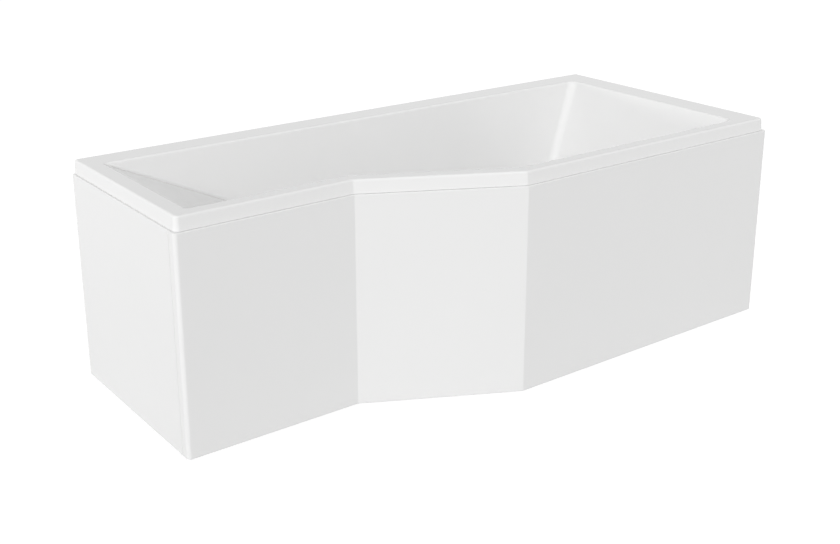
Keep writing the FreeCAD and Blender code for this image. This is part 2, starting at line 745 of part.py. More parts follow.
def foot_nuts():
    """Nuts welded under the crossbars, one above each foot."""
    nuts = []
    low = BAR_BOTTOM - NUT_HEIGHT
    turn = 2 * math.pi / NUT_SIDES
    radius = NUT_FLATS / 2 / math.cos(turn / 2)
    for x, y in foot_places().values():
        corners = []
        for i in range(NUT_SIDES + 1):
            corners.append(Vector(x + radius * math.cos(turn * i), y + radius * math.sin(turn * i), low))
        nut = Part.Face(Part.makePolygon(corners)).extrude(Vector(0, 0, NUT_HEIGHT))
        nuts.append(nut.cut(rod(STUD_R + RUNNING, *upright(x, y, 0, BAR_TOP))))
    return Part.makeCompound(nuts)


def panel_skirt():
    """Skin of both panels with its flanges, all round the bath."""
    radii = [PANEL_CORNER_R, PANEL_CORNER_R, PANEL_FOLD_R, PANEL_FOLD_R, PANEL_CORNER_R, PANEL_CORNER_R]

    def inside(inset):
        return outline(inset, inset, inset, PANEL_BACK_GAP + inset)

    block = prism(inside(0), radii, GLIDE_HEIGHT, PANEL_TOP)
    block = block.makeFillet(PANEL_EDGE_R, edges_at(block, PANEL_TOP))
    wall_radii = inset_radii(radii, PANEL_WALL)
    core_radii = inset_radii(radii, FLANGE_INNER)
    hollow = prism(inside(PANEL_WALL), wall_radii, GLIDE_HEIGHT + PANEL_WALL, FLANGE_BOTTOM)
    core = prism(inside(FLANGE_INNER), core_radii, GLIDE_HEIGHT, PANEL_TOP)
    skirt = block.cut(hollow).cut(core)
    for side, share in GLIDE_PLACES:
        place = side_place(side, share, PANEL_WALL + PANEL_FLANGE / 2).Base
        ends = upright(place.x, place.y, GLIDE_HEIGHT, GLIDE_HEIGHT + PANEL_WALL)
        skirt = skirt.cut(rod(GLIDE_STEM_R + SCREW_CLEAR, *ends))
    return skirt


def front_panel(skirt):
    """Front panel: bent round the near corner, folded twice and returned at the wide end."""
    seam = SEAM_Y - JOINT_GAP / 2
    returned = FRONT + END_RETURN
    step_x = RIGHT - FLANGE_INNER - PAST
    left_x = LEFT - PAST
    right_x = RIGHT + PAST
    front_y = FRONT - PAST
    region = [(left_x, front_y), (right_x, front_y), (right_x, returned),
              (step_x, returned), (step_x, seam), (left_x, seam)]
    return skirt.common(prism(region, [0] * len(region), 0, RIM_TOP))


def end_panel(skirt):
    """Panel of the narrow end, returned along the wall behind."""
    seam = SEAM_Y + JOINT_GAP / 2
    return skirt.common(box(LEFT - PAST, LEFT + END_RETURN, seam, BACK + PAST, 0, RIM_TOP))


def corner_joiner():
    """Strip inside the near corner that lines up the two panels."""
    inner = LEFT + PANEL_WALL + FIT
    corner = NARROW_FRONT + PANEL_CORNER_R + FIT
    return box(inner, inner + JOINER_WALL, corner, SEAM_Y + JOINER_REACH,
               GLIDE_HEIGHT + JOINER_MARGIN, PANEL_TOP - JOINER_MARGIN)


def panel_glides():
    """Small feet pressed into the panels' lower flanges."""
    glides = []
    for side, share in GLIDE_PLACES:
        place = side_place(side, share, PANEL_WALL + PANEL_FLANGE / 2).Base
        disc = rod(GLIDE_R, *upright(place.x, place.y, 0, GLIDE_HEIGHT))
        stem = rod(GLIDE_STEM_R, *upright(place.x, place.y, GLIDE_HEIGHT, GLIDE_HEIGHT + GLIDE_STEM))
        glides.append(disc.fuse(stem).removeSplitter())
    return Part.makeCompound(glides)


def spider(outer, low, high):
    """Hub on arms about Z, with a bore for a stem."""
    shape = rod(HUB_R, *upright(0, 0, low, high))
    for i in range(SPIDER_ARMS):
        arm = box(-SPIDER_BAR / 2, SPIDER_BAR / 2, 0, outer, low, high)
        arm.rotate(Vector(), Vector(0, 0, 1), 360 / SPIDER_ARMS * i)
        shape = shape.fuse(arm)
    shape = shape.common(rod(outer, *upright(0, 0, low, high)))
    return shape.removeSplitter().cut(rod(STEM_R + RUNNING, *upright(0, 0, low, high)))


def at_drain(shape):
    """Shape made about Z at the basin's floor, moved to the drain."""
    return shape.translated(Vector(DRAIN_X, DRAIN_Y, UNDER_FLOOR))


def waste_flange():
    """Ring in the floor whose barrel screws into the waste body and guides the plug's stem."""
    top = WASTE_FLANGE_THICK
    disc = rod(WASTE_FLANGE_R, *upright(0, 0, 0, top))
    disc = disc.makeChamfer(top / 2, edges_at(disc, top))
    barrel = rod(WASTE_BARREL_R, *upright(0, 0, -WASTE_BARREL_LENGTH, 0))
    shape = disc.fuse(barrel).cut(rod(WASTE_BORE_R, *upright(0, 0, -WASTE_BARREL_LENGTH, top)))
    guide = spider(WASTE_BORE_R + RUNNING, -WASTE_BARREL_LENGTH, SPIDER_THICK - WASTE_BARREL_LENGTH)
    return at_drain(shape.fuse(guide).removeSplitter())


def stem_end():
    """Height of the stem's lower end above the basin's floor."""
    return CRANK_Z + CRANK_TIP_R + CRANK_GAP - UNDER_FLOOR


def plug_seat():
    """Height of the closed cap's underside above the basin's floor."""
    return WASTE_FLANGE_THICK + PLUG_SEAT_GAP


def drain_plug():
    """Cap with a neck for its seal and a stem down to the crank."""
    seat = plug_seat()
    cap = rod(PLUG_R, *upright(0, 0, seat, seat + PLUG_THICK))
    cap = cap.makeFillet(PLUG_EDGE_R, edges_at(cap, seat + PLUG_THICK))
    neck = rod(PLUG_NECK_R, *upright(0, 0, seat - PLUG_SEAL_DEPTH, seat))
    stem = rod(STEM_R, *upright(0, 0, stem_end(), seat))
    return at_drain(cap.fuse([neck, stem]).removeSplitter())


def plug_seal():
    """Rubber ring on the plug's neck."""
    seat = plug_seat()
    return at_drain(ring(PLUG_SEAL_R, PLUG_NECK_R + RUNNING, *upright(0, 0, seat - PLUG_SEAL_DEPTH, seat)))


def waste_seal():
    """Rubber ring between the backing and the waste body."""
    return ring(WASTE_SEAL_R, WASTE_BARREL_R + FIT, *upright(DRAIN_X, DRAIN_Y, SEAL_BOTTOM, BOARD_TOP))


def waste_body():
    """Chamber under the floor, with the overflow's port, the cable's boss and the tail."""
    def stack(radius, low, high):
        return rod(radius, *upright(DRAIN_X, DRAIN_Y, low, high))

    port_start = Vector(DRAIN_X, DRAIN_Y, PORT_Z)
    port_end = Vector(DRAIN_X, PORT_END_Y, PORT_Z)
    boss_start = Vector(DRAIN_X + CABLE_OFFSET, DRAIN_Y, PORT_Z)
    boss_end = boss_start - Vector(0, CABLE_BOSS_LENGTH, 0)
    solid = stack(BODY_FLANGE_R, SEAL_BOTTOM - BODY_FLANGE_THICK, SEAL_BOTTOM)
    solid = solid.fuse([stack(BODY_R, BODY_BOTTOM, SEAL_BOTTOM), stack(TAIL_R, TAIL_DIP, BODY_BOTTOM),
                        rod(SOCKET_R, port_start, port_end), rod(CABLE_BOSS_R, boss_start, boss_end)])
    solid = solid.cut(stack(WASTE_BARREL_R + THREAD, BODY_BOTTOM + BODY_FLOOR, SEAL_BOTTOM))
    solid = solid.cut(stack(TAIL_R - TAIL_WALL, TAIL_DIP, SEAL_BOTTOM))
    solid = solid.cut(rod(SOCKET_BORE_R, port_start, port_end))
    solid = solid.cut(rod(CABLE_R + RUNNING, boss_end + Vector(0, CABLE_ENTRY, 0), boss_end))
    shaft = rod(CRANK_SHAFT_R + RUNNING, *crank_shaft_ends())
    return solid.cut(shaft).removeSplitter()


def crank_shaft_ends():
    """Ends of the crank's shaft, in the waste body's wall on both sides."""
    reach = math.sqrt((BODY_R - BODY_WALL) ** 2 - CRANK_ARM ** 2) + CRANK_BEARING
    return Vector(DRAIN_X - reach, CRANK_Y, CRANK_Z), Vector(DRAIN_X + reach, CRANK_Y, CRANK_Z)


def lift_crank():
    """Shaft with an arm whose rounded tip lifts the plug's stem."""
    start, end = crank_shaft_ends()
    give = Vector(FIT, 0, 0)
    shaft = rod(CRANK_SHAFT_R, start + give, end - give)
    half = CRANK_WIDTH / 2
    arm = box(DRAIN_X - half, DRAIN_X + half, CRANK_Y, DRAIN_Y, CRANK_Z - CRANK_TIP_R, CRANK_Z + CRANK_TIP_R)
    hub_start = Vector(DRAIN_X - half, CRANK_Y, CRANK_Z)
    tip_start = Vector(DRAIN_X - half, DRAIN_Y, CRANK_Z)
    width = Vector(CRANK_WIDTH, 0, 0)
    hub = rod(CRANK_HUB_R, hub_start, hub_start + width)
    tip = rod(CRANK_TIP_R, tip_start, tip_start + width)
    return shaft.fuse([arm, hub, tip]).removeSplitter()


def overflow_rosette():
    """Ring inside the basin whose tube screws into the elbow and guides the knob's spindle."""
    tube_in = ROSETTE_TUBE_R - ROSETTE_TUBE_WALL
    disc = rod(ROSETTE_R, *upright(0, 0, 0, ROSETTE_THICK))
    disc = disc.makeChamfer(ROSETTE_THICK / 2, edges_at(disc, ROSETTE_THICK))
    tube = rod(ROSETTE_TUBE_R, *upright(0, 0, -ROSETTE_TUBE_LENGTH, 0))
    shape = disc.fuse(tube).cut(rod(tube_in, *upright(0, 0, -ROSETTE_TUBE_LENGTH, ROSETTE_THICK)))
    guide = spider(tube_in + RUNNING, -ROSETTE_TUBE_LENGTH, SPIDER_THICK - ROSETTE_TUBE_LENGTH)
    return at_overflow(shape.fuse(guide).removeSplitter())


def overflow_knob():
    """Round cap with a raised grip, standing off the wall so that water runs in behind it."""
    top = KNOB_STAND_OFF + KNOB_THICK
    cap = rod(KNOB_R, *upright(0, 0, KNOB_STAND_OFF, top))
    cap = cap.makeFillet(KNOB_EDGE_R, edges_at(cap, top))
    half = KNOB_GRIP_WIDTH / 2
    grip_top = top + KNOB_GRIP_RISE
    grip = box(-KNOB_GRIP_REACH, KNOB_GRIP_REACH, -half, half, KNOB_STAND_OFF, grip_top)
    grip = grip.makeFillet(KNOB_GRIP_EDGE_R, edges_at(grip, grip_top))
    hub = rod(KNOB_HUB_R, *upright(0, 0, ROSETTE_THICK + FIT, KNOB_STAND_OFF))
    spindle = rod(STEM_R, *upright(0, 0, -ROSETTE_TUBE_LENGTH - FIT, KNOB_STAND_OFF))
    return at_overflow(cap.fuse([grip, hub, spindle]).removeSplitter())


def overflow_seal():
    """Rubber ring between the basin's wall and the elbow."""
    return overflow_ring(OVERFLOW_SEAL_R, ROSETTE_TUBE_R + FIT, ELBOW_FACE, -BACKING)


def overflow_elbow():
    """Cup behind the basin's wall, with an outlet down and the cable's boss beside it."""
    flange_back = ELBOW_FACE - ELBOW_FLANGE_THICK
    cup_back = flange_back - ELBOW_DEPTH
    centre = ELBOW_CENTRE
    outlet_end = Vector(centre.x, centre.y, ELBOW_END_Z)
    boss_start = centre + Vector(CABLE_OFFSET, 0, 0)
    boss_end = boss_start - Vector(0, 0, CABLE_BOSS_LENGTH)
    solid = overflow_rod(ELBOW_FLANGE_R, flange_back, ELBOW_FACE)
    solid = solid.fuse([overflow_rod(ELBOW_R, cup_back - ELBOW_BACK, ELBOW_FACE),
                        rod(SOCKET_R, centre, outlet_end), rod(CABLE_BOSS_R, boss_start, boss_end)])
    solid = solid.cut(overflow_rod(ROSETTE_TUBE_R + THREAD, cup_back, ELBOW_FACE))
    solid = solid.cut(rod(SOCKET_BORE_R - SOCKET_WALL, centre, outlet_end))
    solid = solid.cut(rod(SOCKET_BORE_R, outlet_end + Vector(0, 0, PIPE_ENTRY + FIT), outlet_end))
    solid = solid.cut(rod(CABLE_R + RUNNING, boss_end + Vector(0, 0, CABLE_ENTRY), boss_end))
    return solid.removeSplitter()


def bent_tube(x, top, end_y, radius, bore):
    """Tube down beside the basin, bent to run back under the floor."""
    y = ELBOW_CENTRE.y
    bend = PIPE_BEND_R
    corner = bend * (1 - math.sqrt(0.5))
    points = [Vector(x, y, top), Vector(x, y, PORT_Z + bend), Vector(x, y + corner, PORT_Z + corner),
              Vector(x, y + bend, PORT_Z), Vector(x, end_y, PORT_Z)]
    path = Part.Wire([Part.LineSegment(points[0], points[1]).toShape(),
                      Part.Arc(points[1], points[2], points[3]).toShape(),
                      Part.LineSegment(points[3], points[4]).toShape()])

    def swept(size):
        section = Part.Wire(Part.Circle(points[0], Vector(0, 0, -1), size).toShape())
        return path.makePipeShell([section], True, True)

    tube = swept(radius)
    return tube.cut(swept(bore)) if bore else tube


def overflow_pipe():
    """Pipe from the elbow to the waste body."""
    return bent_tube(DRAIN_X, ELBOW_END_Z + PIPE_ENTRY, PORT_END_Y + PIPE_ENTRY, PIPE_R, PIPE_R - PIPE_WALL)


def bowden_cable():
    """Cable beside the pipe, held in the elbow's and the waste body's bosses."""
    top = ELBOW_CENTRE.z - CABLE_BOSS_LENGTH + CABLE_ENTRY
    return bent_tube(DRAIN_X + CABLE_OFFSET, top, DRAIN_Y - CABLE_BOSS_LENGTH + CABLE_ENTRY, CABLE_R, 0)


def pipe_nut(mouth, way):
    """Nut over a socket's mouth: it grips the socket behind the mouth and the pipe ahead of it."""
    half = way * (PIPE_NUT_LENGTH / 2)
    nut = rod(PIPE_NUT_R, mouth - half, mouth + half)
    nut = nut.cut(rod(SOCKET_R + THREAD, mouth - half, mouth + way * FIT))
    return nut.cut(rod(PIPE_R + FIT, mouth, mouth + half))


def pipe_nuts():
    """Nuts at both ends of the overflow pipe."""
    top = pipe_nut(Vector(DRAIN_X, ELBOW_CENTRE.y, ELBOW_END_Z), Vector(0, 0, -1))
    bottom = pipe_nut(Vector(DRAIN_X, PORT_END_Y, PORT_Z), Vector(0, -1, 0))
    return Part.makeCompound([top, bottom])


def outlet_points():
    """Points along the outlet: cup's middle, pipe's start, socket's mouth, stop, wall end."""
    mouth = DRAIN_Y + CUP_R + OUTLET_SOCKET
    end = BACK - OUTLET_FROM_WALL
    ys = [DRAIN_Y, mouth - OUTLET_ENTRY, mouth, end - SPIGOT - STOP_WIDTH, end]
    return [Vector(DRAIN_X, y, OUTLET_HEIGHT) for y in ys]


def trap_cup():
    """Drum that holds the water seal, with a collar on top and the outlet's socket at its back."""
    def stack(radius, low, high):
        return rod(radius, *upright(DRAIN_X, DRAIN_Y, low, high))

    middle, start, mouth = outlet_points()[:3]
    solid = stack(CUP_R, CUP_BOTTOM, CUP_TOP)
    solid = solid.fuse([stack(COLLAR_R, CUP_TOP, CUP_TOP + COLLAR_HEIGHT),
                        rod(OUTLET_R + OUTLET_SOCKET_WALL, middle, mouth)])
    solid = solid.cut(stack(CUP_R - CUP_WALL, CUP_BOTTOM + CUP_WALL, CUP_TOP - CUP_WALL))
    solid = solid.cut(stack(TAIL_R + THREAD, CUP_TOP - CUP_WALL, CUP_TOP + COLLAR_HEIGHT))
    solid = solid.cut(stack(CAP_NECK_R + RUNNING, CUP_BOTTOM, CUP_BOTTOM + CUP_WALL))
    solid = solid.cut(rod(OUTLET_R - OUTLET_WALL, middle, mouth))
    return solid.cut(rod(OUTLET_R + THREAD, start, mouth)).removeSplitter()


def trap_nut():
    """Nut over the cup's collar that grips the tail."""
    top = CUP_TOP + COLLAR_HEIGHT
    nut = rod(TRAP_NUT_R, *upright(DRAIN_X, DRAIN_Y, CUP_TOP, top + TRAP_NUT_LIP))
    nut = nut.cut(rod(COLLAR_R + THREAD, *upright(DRAIN_X, DRAIN_Y, CUP_TOP, top)))
    return nut.cut(rod(TAIL_R + THREAD, *upright(DRAIN_X, DRAIN_Y, CUP_TOP, top + TRAP_NUT_LIP)))


def trap_cap():
    """Cleaning cap under the cup, with hollows round its edge for the fingers."""
    cap = rod(CAP_R, *upright(DRAIN_X, DRAIN_Y, CUP_BOTTOM - CAP_THICK, CUP_BOTTOM))
    for i in range(CAP_GRIP_COUNT):
        angle = 2 * math.pi * i / CAP_GRIP_COUNT
        x = DRAIN_X + CAP_R * math.cos(angle)
        y = DRAIN_Y + CAP_R * math.sin(angle)
        cap = cap.cut(rod(CAP_GRIP_R, *upright(x, y, 0, CUP_BOTTOM)))
    neck = rod(CAP_NECK_R, *upright(DRAIN_X, DRAIN_Y, CUP_BOTTOM, CUP_BOTTOM + CAP_NECK))
    return cap.fuse(neck).removeSplitter()


def outlet_pipe():
    """Pipe from the trap to the wall, with a stop before its free end."""
    _, start, _, stop, end = outlet_points()
    pipe = rod(OUTLET_R, start, end).fuse(rod(STOP_R, stop, stop + Vector(0, STOP_WIDTH, 0)))
    return pipe.cut(rod(OUTLET_R - OUTLET_WALL, start, end)).removeSplitter()


def outlet_nut():
    """Nut over the mouth of the trap's outlet socket."""
    mouth = outlet_points()[2]
    half = Vector(0, OUTLET_NUT_LENGTH / 2, 0)
    nut = rod(OUTLET_NUT_R, mouth - half, mouth + half)
    nut = nut.cut(rod(OUTLET_R + OUTLET_SOCKET_WALL + THREAD, mouth - half, mouth))
    return nut.cut(rod(OUTLET_R + THREAD, mouth, mouth + half))


def build():
    """Every node of the bath, by name."""
    skirt = panel_skirt()
    left_bar_ends = (RAIL_YS[1] - LEFT_BAR_OVERHANG, RAIL_YS[0] + LEFT_BAR_OVERHANG)
    nodes = {
        "bath_shell": bath_shell(),
        "grp_backing": grp_backing(),
        "base_board": base_board(),
        "board_screws": board_screws(),
        "crossbar_left": crossbar(LEFT_BAR_X, *left_bar_ends),
        "crossbar_mid": crossbar(MID_BAR_X, LONG_BAR_FRONT, LONG_BAR_BACK),
        "crossbar_right": crossbar(RIGHT_BAR_X, LONG_BAR_FRONT, LONG_BAR_BACK),
        "rail_back": rail(RAIL_YS[0]),
        "rail_front": rail(RAIL_YS[1]),
        "backrest_post_back": backrest_post(RAIL_YS[0]),
        "backrest_post_front": backrest_post(RAIL_YS[1]),
        "backrest_pads": backrest_pads(),
        "back_posts": back_posts(),
        "front_struts": front_struts(),
        "wall_bracket_mid": wall_bracket(MID_BAR_X),
        "wall_bracket_right": wall_bracket(RIGHT_BAR_X),
        "foot_nuts": foot_nuts(),
        "front_panel": front_panel(skirt),
        "end_panel": end_panel(skirt),
        "corner_joiner": corner_joiner(),
        "panel_glides": panel_glides(),
        "panel_clips": panel_clips(),
        "small_screws": small_screws(),
        "waste_flange": waste_flange(),
        "waste_seal": waste_seal(),
        "waste_body": waste_body(),
        "drain_plug": drain_plug(),
        "plug_seal": plug_seal(),
        "lift_crank": lift_crank(),
        "overflow_rosette": overflow_rosette(),
        "overflow_seal": overflow_seal(),
        "overflow_elbow": overflow_elbow(),
        "overflow_knob": overflow_knob(),
        "overflow_pipe": overflow_pipe(),
        "pipe_nuts": pipe_nuts(),
        "bowden_cable": bowden_cable(),
        "trap_cup": trap_cup(),
        "trap_nut": trap_nut(),
        "trap_cap": trap_cap(),
        "outlet_pipe": outlet_pipe(),
        "outlet_nut": outlet_nut(),
    }
    for side, name in enumerate(("left", "narrow", "slant", "wide", "right", "back")):
        nodes["rim_batten_" + name] = rim_batten(side)
    for name, (x, y) in foot_places().items():
        nodes["foot_stud_" + name] = foot_stud(x, y)
        nodes["foot_pad_" + name] = foot_pad(x, y)
    return nodes


def main():
    os.makedirs("parts", exist_ok=True)
    for name, shape in build().items():
        shape.exportStep("parts/" + name + ".step")


main()
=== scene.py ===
"""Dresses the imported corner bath: acrylic, glass fibre, timber, leg frame, waste and overflow."""
import json
import math
import bmesh
import bpy
from bpy.props import FloatProperty, FloatVectorProperty, IntProperty, PointerProperty
from mathutils import Matrix, Vector


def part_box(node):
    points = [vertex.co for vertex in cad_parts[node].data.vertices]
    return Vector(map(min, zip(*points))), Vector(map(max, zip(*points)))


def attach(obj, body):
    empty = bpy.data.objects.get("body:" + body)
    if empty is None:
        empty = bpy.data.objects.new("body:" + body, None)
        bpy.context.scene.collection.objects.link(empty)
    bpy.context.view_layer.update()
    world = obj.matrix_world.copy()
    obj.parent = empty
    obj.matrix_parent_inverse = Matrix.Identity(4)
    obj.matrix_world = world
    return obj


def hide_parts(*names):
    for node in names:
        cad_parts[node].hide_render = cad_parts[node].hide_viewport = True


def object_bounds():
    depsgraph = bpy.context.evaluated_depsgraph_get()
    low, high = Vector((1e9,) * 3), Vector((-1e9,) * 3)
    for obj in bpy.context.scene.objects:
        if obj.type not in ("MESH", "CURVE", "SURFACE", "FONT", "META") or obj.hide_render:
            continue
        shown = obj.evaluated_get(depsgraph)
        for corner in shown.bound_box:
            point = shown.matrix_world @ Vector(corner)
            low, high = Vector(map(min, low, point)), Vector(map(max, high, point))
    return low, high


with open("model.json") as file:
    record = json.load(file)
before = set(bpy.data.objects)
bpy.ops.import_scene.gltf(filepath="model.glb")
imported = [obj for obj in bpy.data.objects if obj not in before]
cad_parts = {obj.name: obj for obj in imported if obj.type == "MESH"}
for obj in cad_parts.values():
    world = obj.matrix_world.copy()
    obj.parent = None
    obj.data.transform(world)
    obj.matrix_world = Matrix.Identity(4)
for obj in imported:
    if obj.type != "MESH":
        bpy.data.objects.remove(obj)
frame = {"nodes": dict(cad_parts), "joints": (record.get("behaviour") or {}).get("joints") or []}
CAD_LOW, CAD_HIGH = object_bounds()
PANEL_LOW, PANEL_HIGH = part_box("front_panel")
END_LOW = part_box("end_panel")[0]
BACKING_LOW, BACKING_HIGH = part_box("grp_backing")
WASTE_LOW, WASTE_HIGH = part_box("waste_flange")

bl_info = {
    "name": "Corner Bath",
    "version": (1, 0, 0),
    "blender": (4, 5, 0),
    "location": "View3D > Sidebar > Corner Bath",
    "description": "Dresses the packed model of a corner bath with its finished pieces",
    "category": "Object",
}

# Points in each rounded corner, fold and side of a loop round the bath
CORNER_POINTS = 11
FOLD_POINTS = 9
SIDE_POINTS = {"left": 9, "narrow": 5, "slant": 5, "wide": 9, "right": 9, "back": 15}

# How far a fold's points reach to each side of it, and the least room between two folds
FOLD_REACH = 0.016
SQUEEZE = 0.002

# Rows down the basin's walls, round its edge at the floor, round its mouth and over an outer edge
LEVELS = 30
FLOOR_STEPS = 10
FLOOR_TURN = math.radians(85)
MOUTH_STEPS = 6
ROUND_STEPS = 6

# Depth of the basin's first row under the rim, in mouth roundings
FIRST_ROW = 1.8

# Least radii of the rim's and the panels' inner corners
RIM_LEAST = 0.001
PANEL_LEAST = 0.0006

# Half the drill's length, in skins, and the points round it
DRILL_REACH = 4
DRILL_POINTS = 64

# Easing of the panels' cut edges: its share of their rounding, and the angle from which an edge is eased
CUT_SHARE = 0.6
CUT_ANGLE = math.radians(60)

# Roundings of straight pieces
BATTEN_EDGE = 0.0012
PLATE_EDGE = 0.0006
PAD_EDGE = 0.0015
CLIP_EDGE = 0.0003
JOINER_EDGE = 0.0004

# Copies of nodes: points this near are one, faces this flat are one, edges this sharp and long are rounded
MERGE = 0.00002
FLAT_ANGLE = math.radians(2)
CRISP_ANGLE = math.radians(50)
LONG_EDGE = 4

# Angles past which smooth shading breaks, and how far large faces lead in it
NUT_BREAK = math.radians(25)
ROUND_BREAK = math.radians(30)
STRAIGHT_BREAK = math.radians(35)
SKIN_BREAK = math.radians(40)
NORMAL_WEIGHT = 80

# Thread of the studs: its reach in pitches, and the points in a turn, its profile and the core
THREAD_REACH = 0.62
TURN_POINTS = 18
RIDGE_POINTS = 4
CORE_POINTS = 32

# Grip ribs: points round one, and their share of the nut's height
RIB_POINTS = 10
RIB_SHARE = 0.86


def length(name, description, default):
    """A size in metres for the sidebar."""
    return FloatProperty(name=name, description=description, default=default, unit="LENGTH", precision=4)


def tint(name, description, default):
    """A colour for the sidebar."""
    return FloatVectorProperty(name=name, description=description, default=default, subtype="COLOR",
                               min=0, max=1)


class BathSizes(bpy.types.PropertyGroup):
    """Sizes of the acrylic skins and their roundings."""

    narrow_depth: length("Narrow depth", "Depth of the bath at its narrow left end", 0.56)
    fold_start: length("Fold start", "From the left end to the apron's first fold", 0.455)
    fold_end: length("Fold end", "From the left end to the apron's second fold", 0.822)
    skin: length("Skin", "Thickness of the acrylic skin", 0.005)
    lip_height: length("Lip height", "Height of the turned-down lip", 0.034)
    lip_step: length("Lip step", "How far the lip's lower edge stands back from the panels", 0.006)
    lip_draft: length("Lip draft", "How much further back the lip's upper edge stands", 0.003)
    rim_corner: length("Rim corner", "Radius of the rim's corners", 0.014)
    rim_fold: length("Rim fold", "Radius of the rim's two folds", 0.010)
    rim_edge: length("Rim edge", "Rounding between the lip and the rim's top", 0.006)
    mouth_edge: length("Mouth edge", "Rounding between the rim's top and the basin", 0.0055)
    ledge_left: length("Left ledge", "Rim width at the backrest", 0.050)
    ledge_front: length("Front ledge", "Rim width at the front", 0.046)
    ledge_right: length("Right ledge", "Rim width at the foot end", 0.094)
    ledge_back: length("Back ledge", "Rim width at the wall", 0.078)
    side_lean: length("Side lean", "How far the front and back walls lean in", 0.040)
    end_lean: length("End lean", "How far the foot end leans in", 0.170)
    basin_floor: length("Basin floor", "Height of the basin's floor", 0.165)
    basin_corner: length("Basin corner", "Radius of the basin's foot-end corners", 0.024)
    basin_fold: length("Basin fold", "Radius of the basin's two folds", 0.030)
    edge_low: length("Lower edge", "Rounding of the basin's edges at the floor", 0.018)
    edge_high: length("Upper edge", "Rounding beside the backrest at the rim", 0.007)
    foot_round: length("Backrest foot", "Radius between the backrest and the floor", 0.160)
    backrest: FloatProperty(name="Backrest", description="Slope of the backrest", subtype="ANGLE",
                            default=math.radians(25.2))
    bond: length("Bond", "Glue gap between the acrylic and the glass fibre", 0.0003)
    waste_hole: length("Waste hole", "Radius of the waste's hole", 0.026)
    overflow_hole: length("Overflow hole", "Radius of the overflow's hole", 0.025)
    panel_skin: length("Panel skin", "Thickness of the panels", 0.004)
    panel_edge: length("Panel edge", "Rounding of the panels' top edge", 0.002)
    panel_corner: length("Panel corner", "Radius of the panels' corners", 0.010)
    panel_fold: length("Panel fold", "Radius of the panels' folds", 0.007)
    panel_flange: length("Panel flange", "How far the panels' flanges reach in", 0.022)
    cut_edge: length("Cut edge", "Easing of the panels' cut edges", 0.001)
    panel_return: length("Panel return", "How far the panels run round the end corners", 0.035)
    back_gap: length("Back gap", "Gap between the end panel and the wall", 0.002)
    bar_edge: length("Bar edge", "Rounding of the leg frame's square tubes", 0.0018)
    pitch: length("Thread pitch", "Rise of the foot threads in one turn", 0.0025)
    rib_width: length("Rib width", "Width of the grip ribs on the trap's nuts", 0.0026)
    nut_ribs: IntProperty(name="Nut ribs", description="Grip ribs round each of the trap's nuts",
                          default=32, min=8)


class BathColours(bpy.types.PropertyGroup):
    """Colours of the finishes."""

    acrylic: tint("Acrylic", "Gloss white sheet", (0.80, 0.80, 0.798))
    glass_fibre: tint("Glass fibre", "Resin of the chopped-strand backing", (0.74, 0.72, 0.65))
    strand: tint("Strand", "Glass strands that show through the resin", (0.86, 0.85, 0.81))
    chip_pale: tint("Pale chip", "Lighter chips of the board", (0.56, 0.41, 0.25))
    chip_dark: tint("Dark chip", "Darker chips of the board", (0.26, 0.16, 0.085))
    wood_pale: tint("Early wood", "Pale bands of the battens", (0.67, 0.47, 0.27))
    wood_dark: tint("Late wood", "Dark bands of the battens", (0.42, 0.24, 0.115))
    galvanised: tint("Galvanised steel", "Spangled zinc of the leg frame", (0.57, 0.58, 0.60))
    zinc: tint("Zinc", "Plated studs, nuts and screws", (0.66, 0.66, 0.64))
    black_plastic: tint("Black plastic", "Foot pads and cable sheath", (0.030, 0.030, 0.032))
    white_plastic: tint("White plastic", "Waste fittings and joiner", (0.74, 0.74, 0.73))
    grey_plastic: tint("Grey plastic", "Union nuts", (0.16, 0.165, 0.175))
    rubber: tint("Rubber", "Seals and backrest pads", (0.022, 0.022, 0.022))
    chrome: tint("Chrome", "Polished waste and overflow", (0.80, 0.81, 0.82))
    brass: tint("Brass", "Lifting crank", (0.63, 0.43, 0.16))


def sizes():
    """Sizes set in the sidebar."""
    return bpy.context.scene.corner_bath_sizes


def colours():
    """Colours set in the sidebar."""
    return bpy.context.scene.corner_bath_colours


# Node trees and finishes

class Tone:
    """A node's value that plain expressions add, take away, multiply and raise to a power."""

    def __init__(self, tree, socket):
        self.tree = tree
        self.socket = socket

    def maths(self, operation, first, second):
        """Result of one Math node."""
        return self.tree.node("ShaderNodeMath", {"operation": operation}, {0: first, 1: second})

    def __add__(self, other):
        return self.maths("ADD", self, other)

    def __radd__(self, other):
        return self.maths("ADD", other, self)

    def __sub__(self, other):
        return self.maths("SUBTRACT", self, other)

    def __rsub__(self, other):
        return self.maths("SUBTRACT", other, self)

    def __mul__(self, other):
        return self.maths("MULTIPLY", self, other)

    def __rmul__(self, other):
        return self.maths("MULTIPLY", other, self)

    def __pow__(self, other):
        return self.maths("POWER", self, other)


class Tree:
    """A node tree that is filled by one method."""

    def __init__(self, tree):
        self.tree = tree

    def find(self, sockets, key):
        """Socket by number, identifier or name."""
        if isinstance(key, int):
            return sockets[key]
        for socket in sockets:
            if socket.identifier == key:
                return socket
        return sockets[key]

    def put(self, socket, value):
        """Sets a socket to a value or links it to another."""
        if isinstance(value, Tone):
            self.tree.links.new(value.socket, socket)
        else:
            socket.default_value = value

    def node(self, kind, settings, sockets, output=0):
        """Adds a node with its settings and sockets and returns one of its outputs."""
        made = self.tree.nodes.new(kind)
        for key, value in settings.items():
            setattr(made, key, value)
        for key, value in sockets.items():
            self.put(self.find(made.inputs, key), value)
        if not made.outputs:
            return made
        return Tone(self, self.find(made.outputs, output))


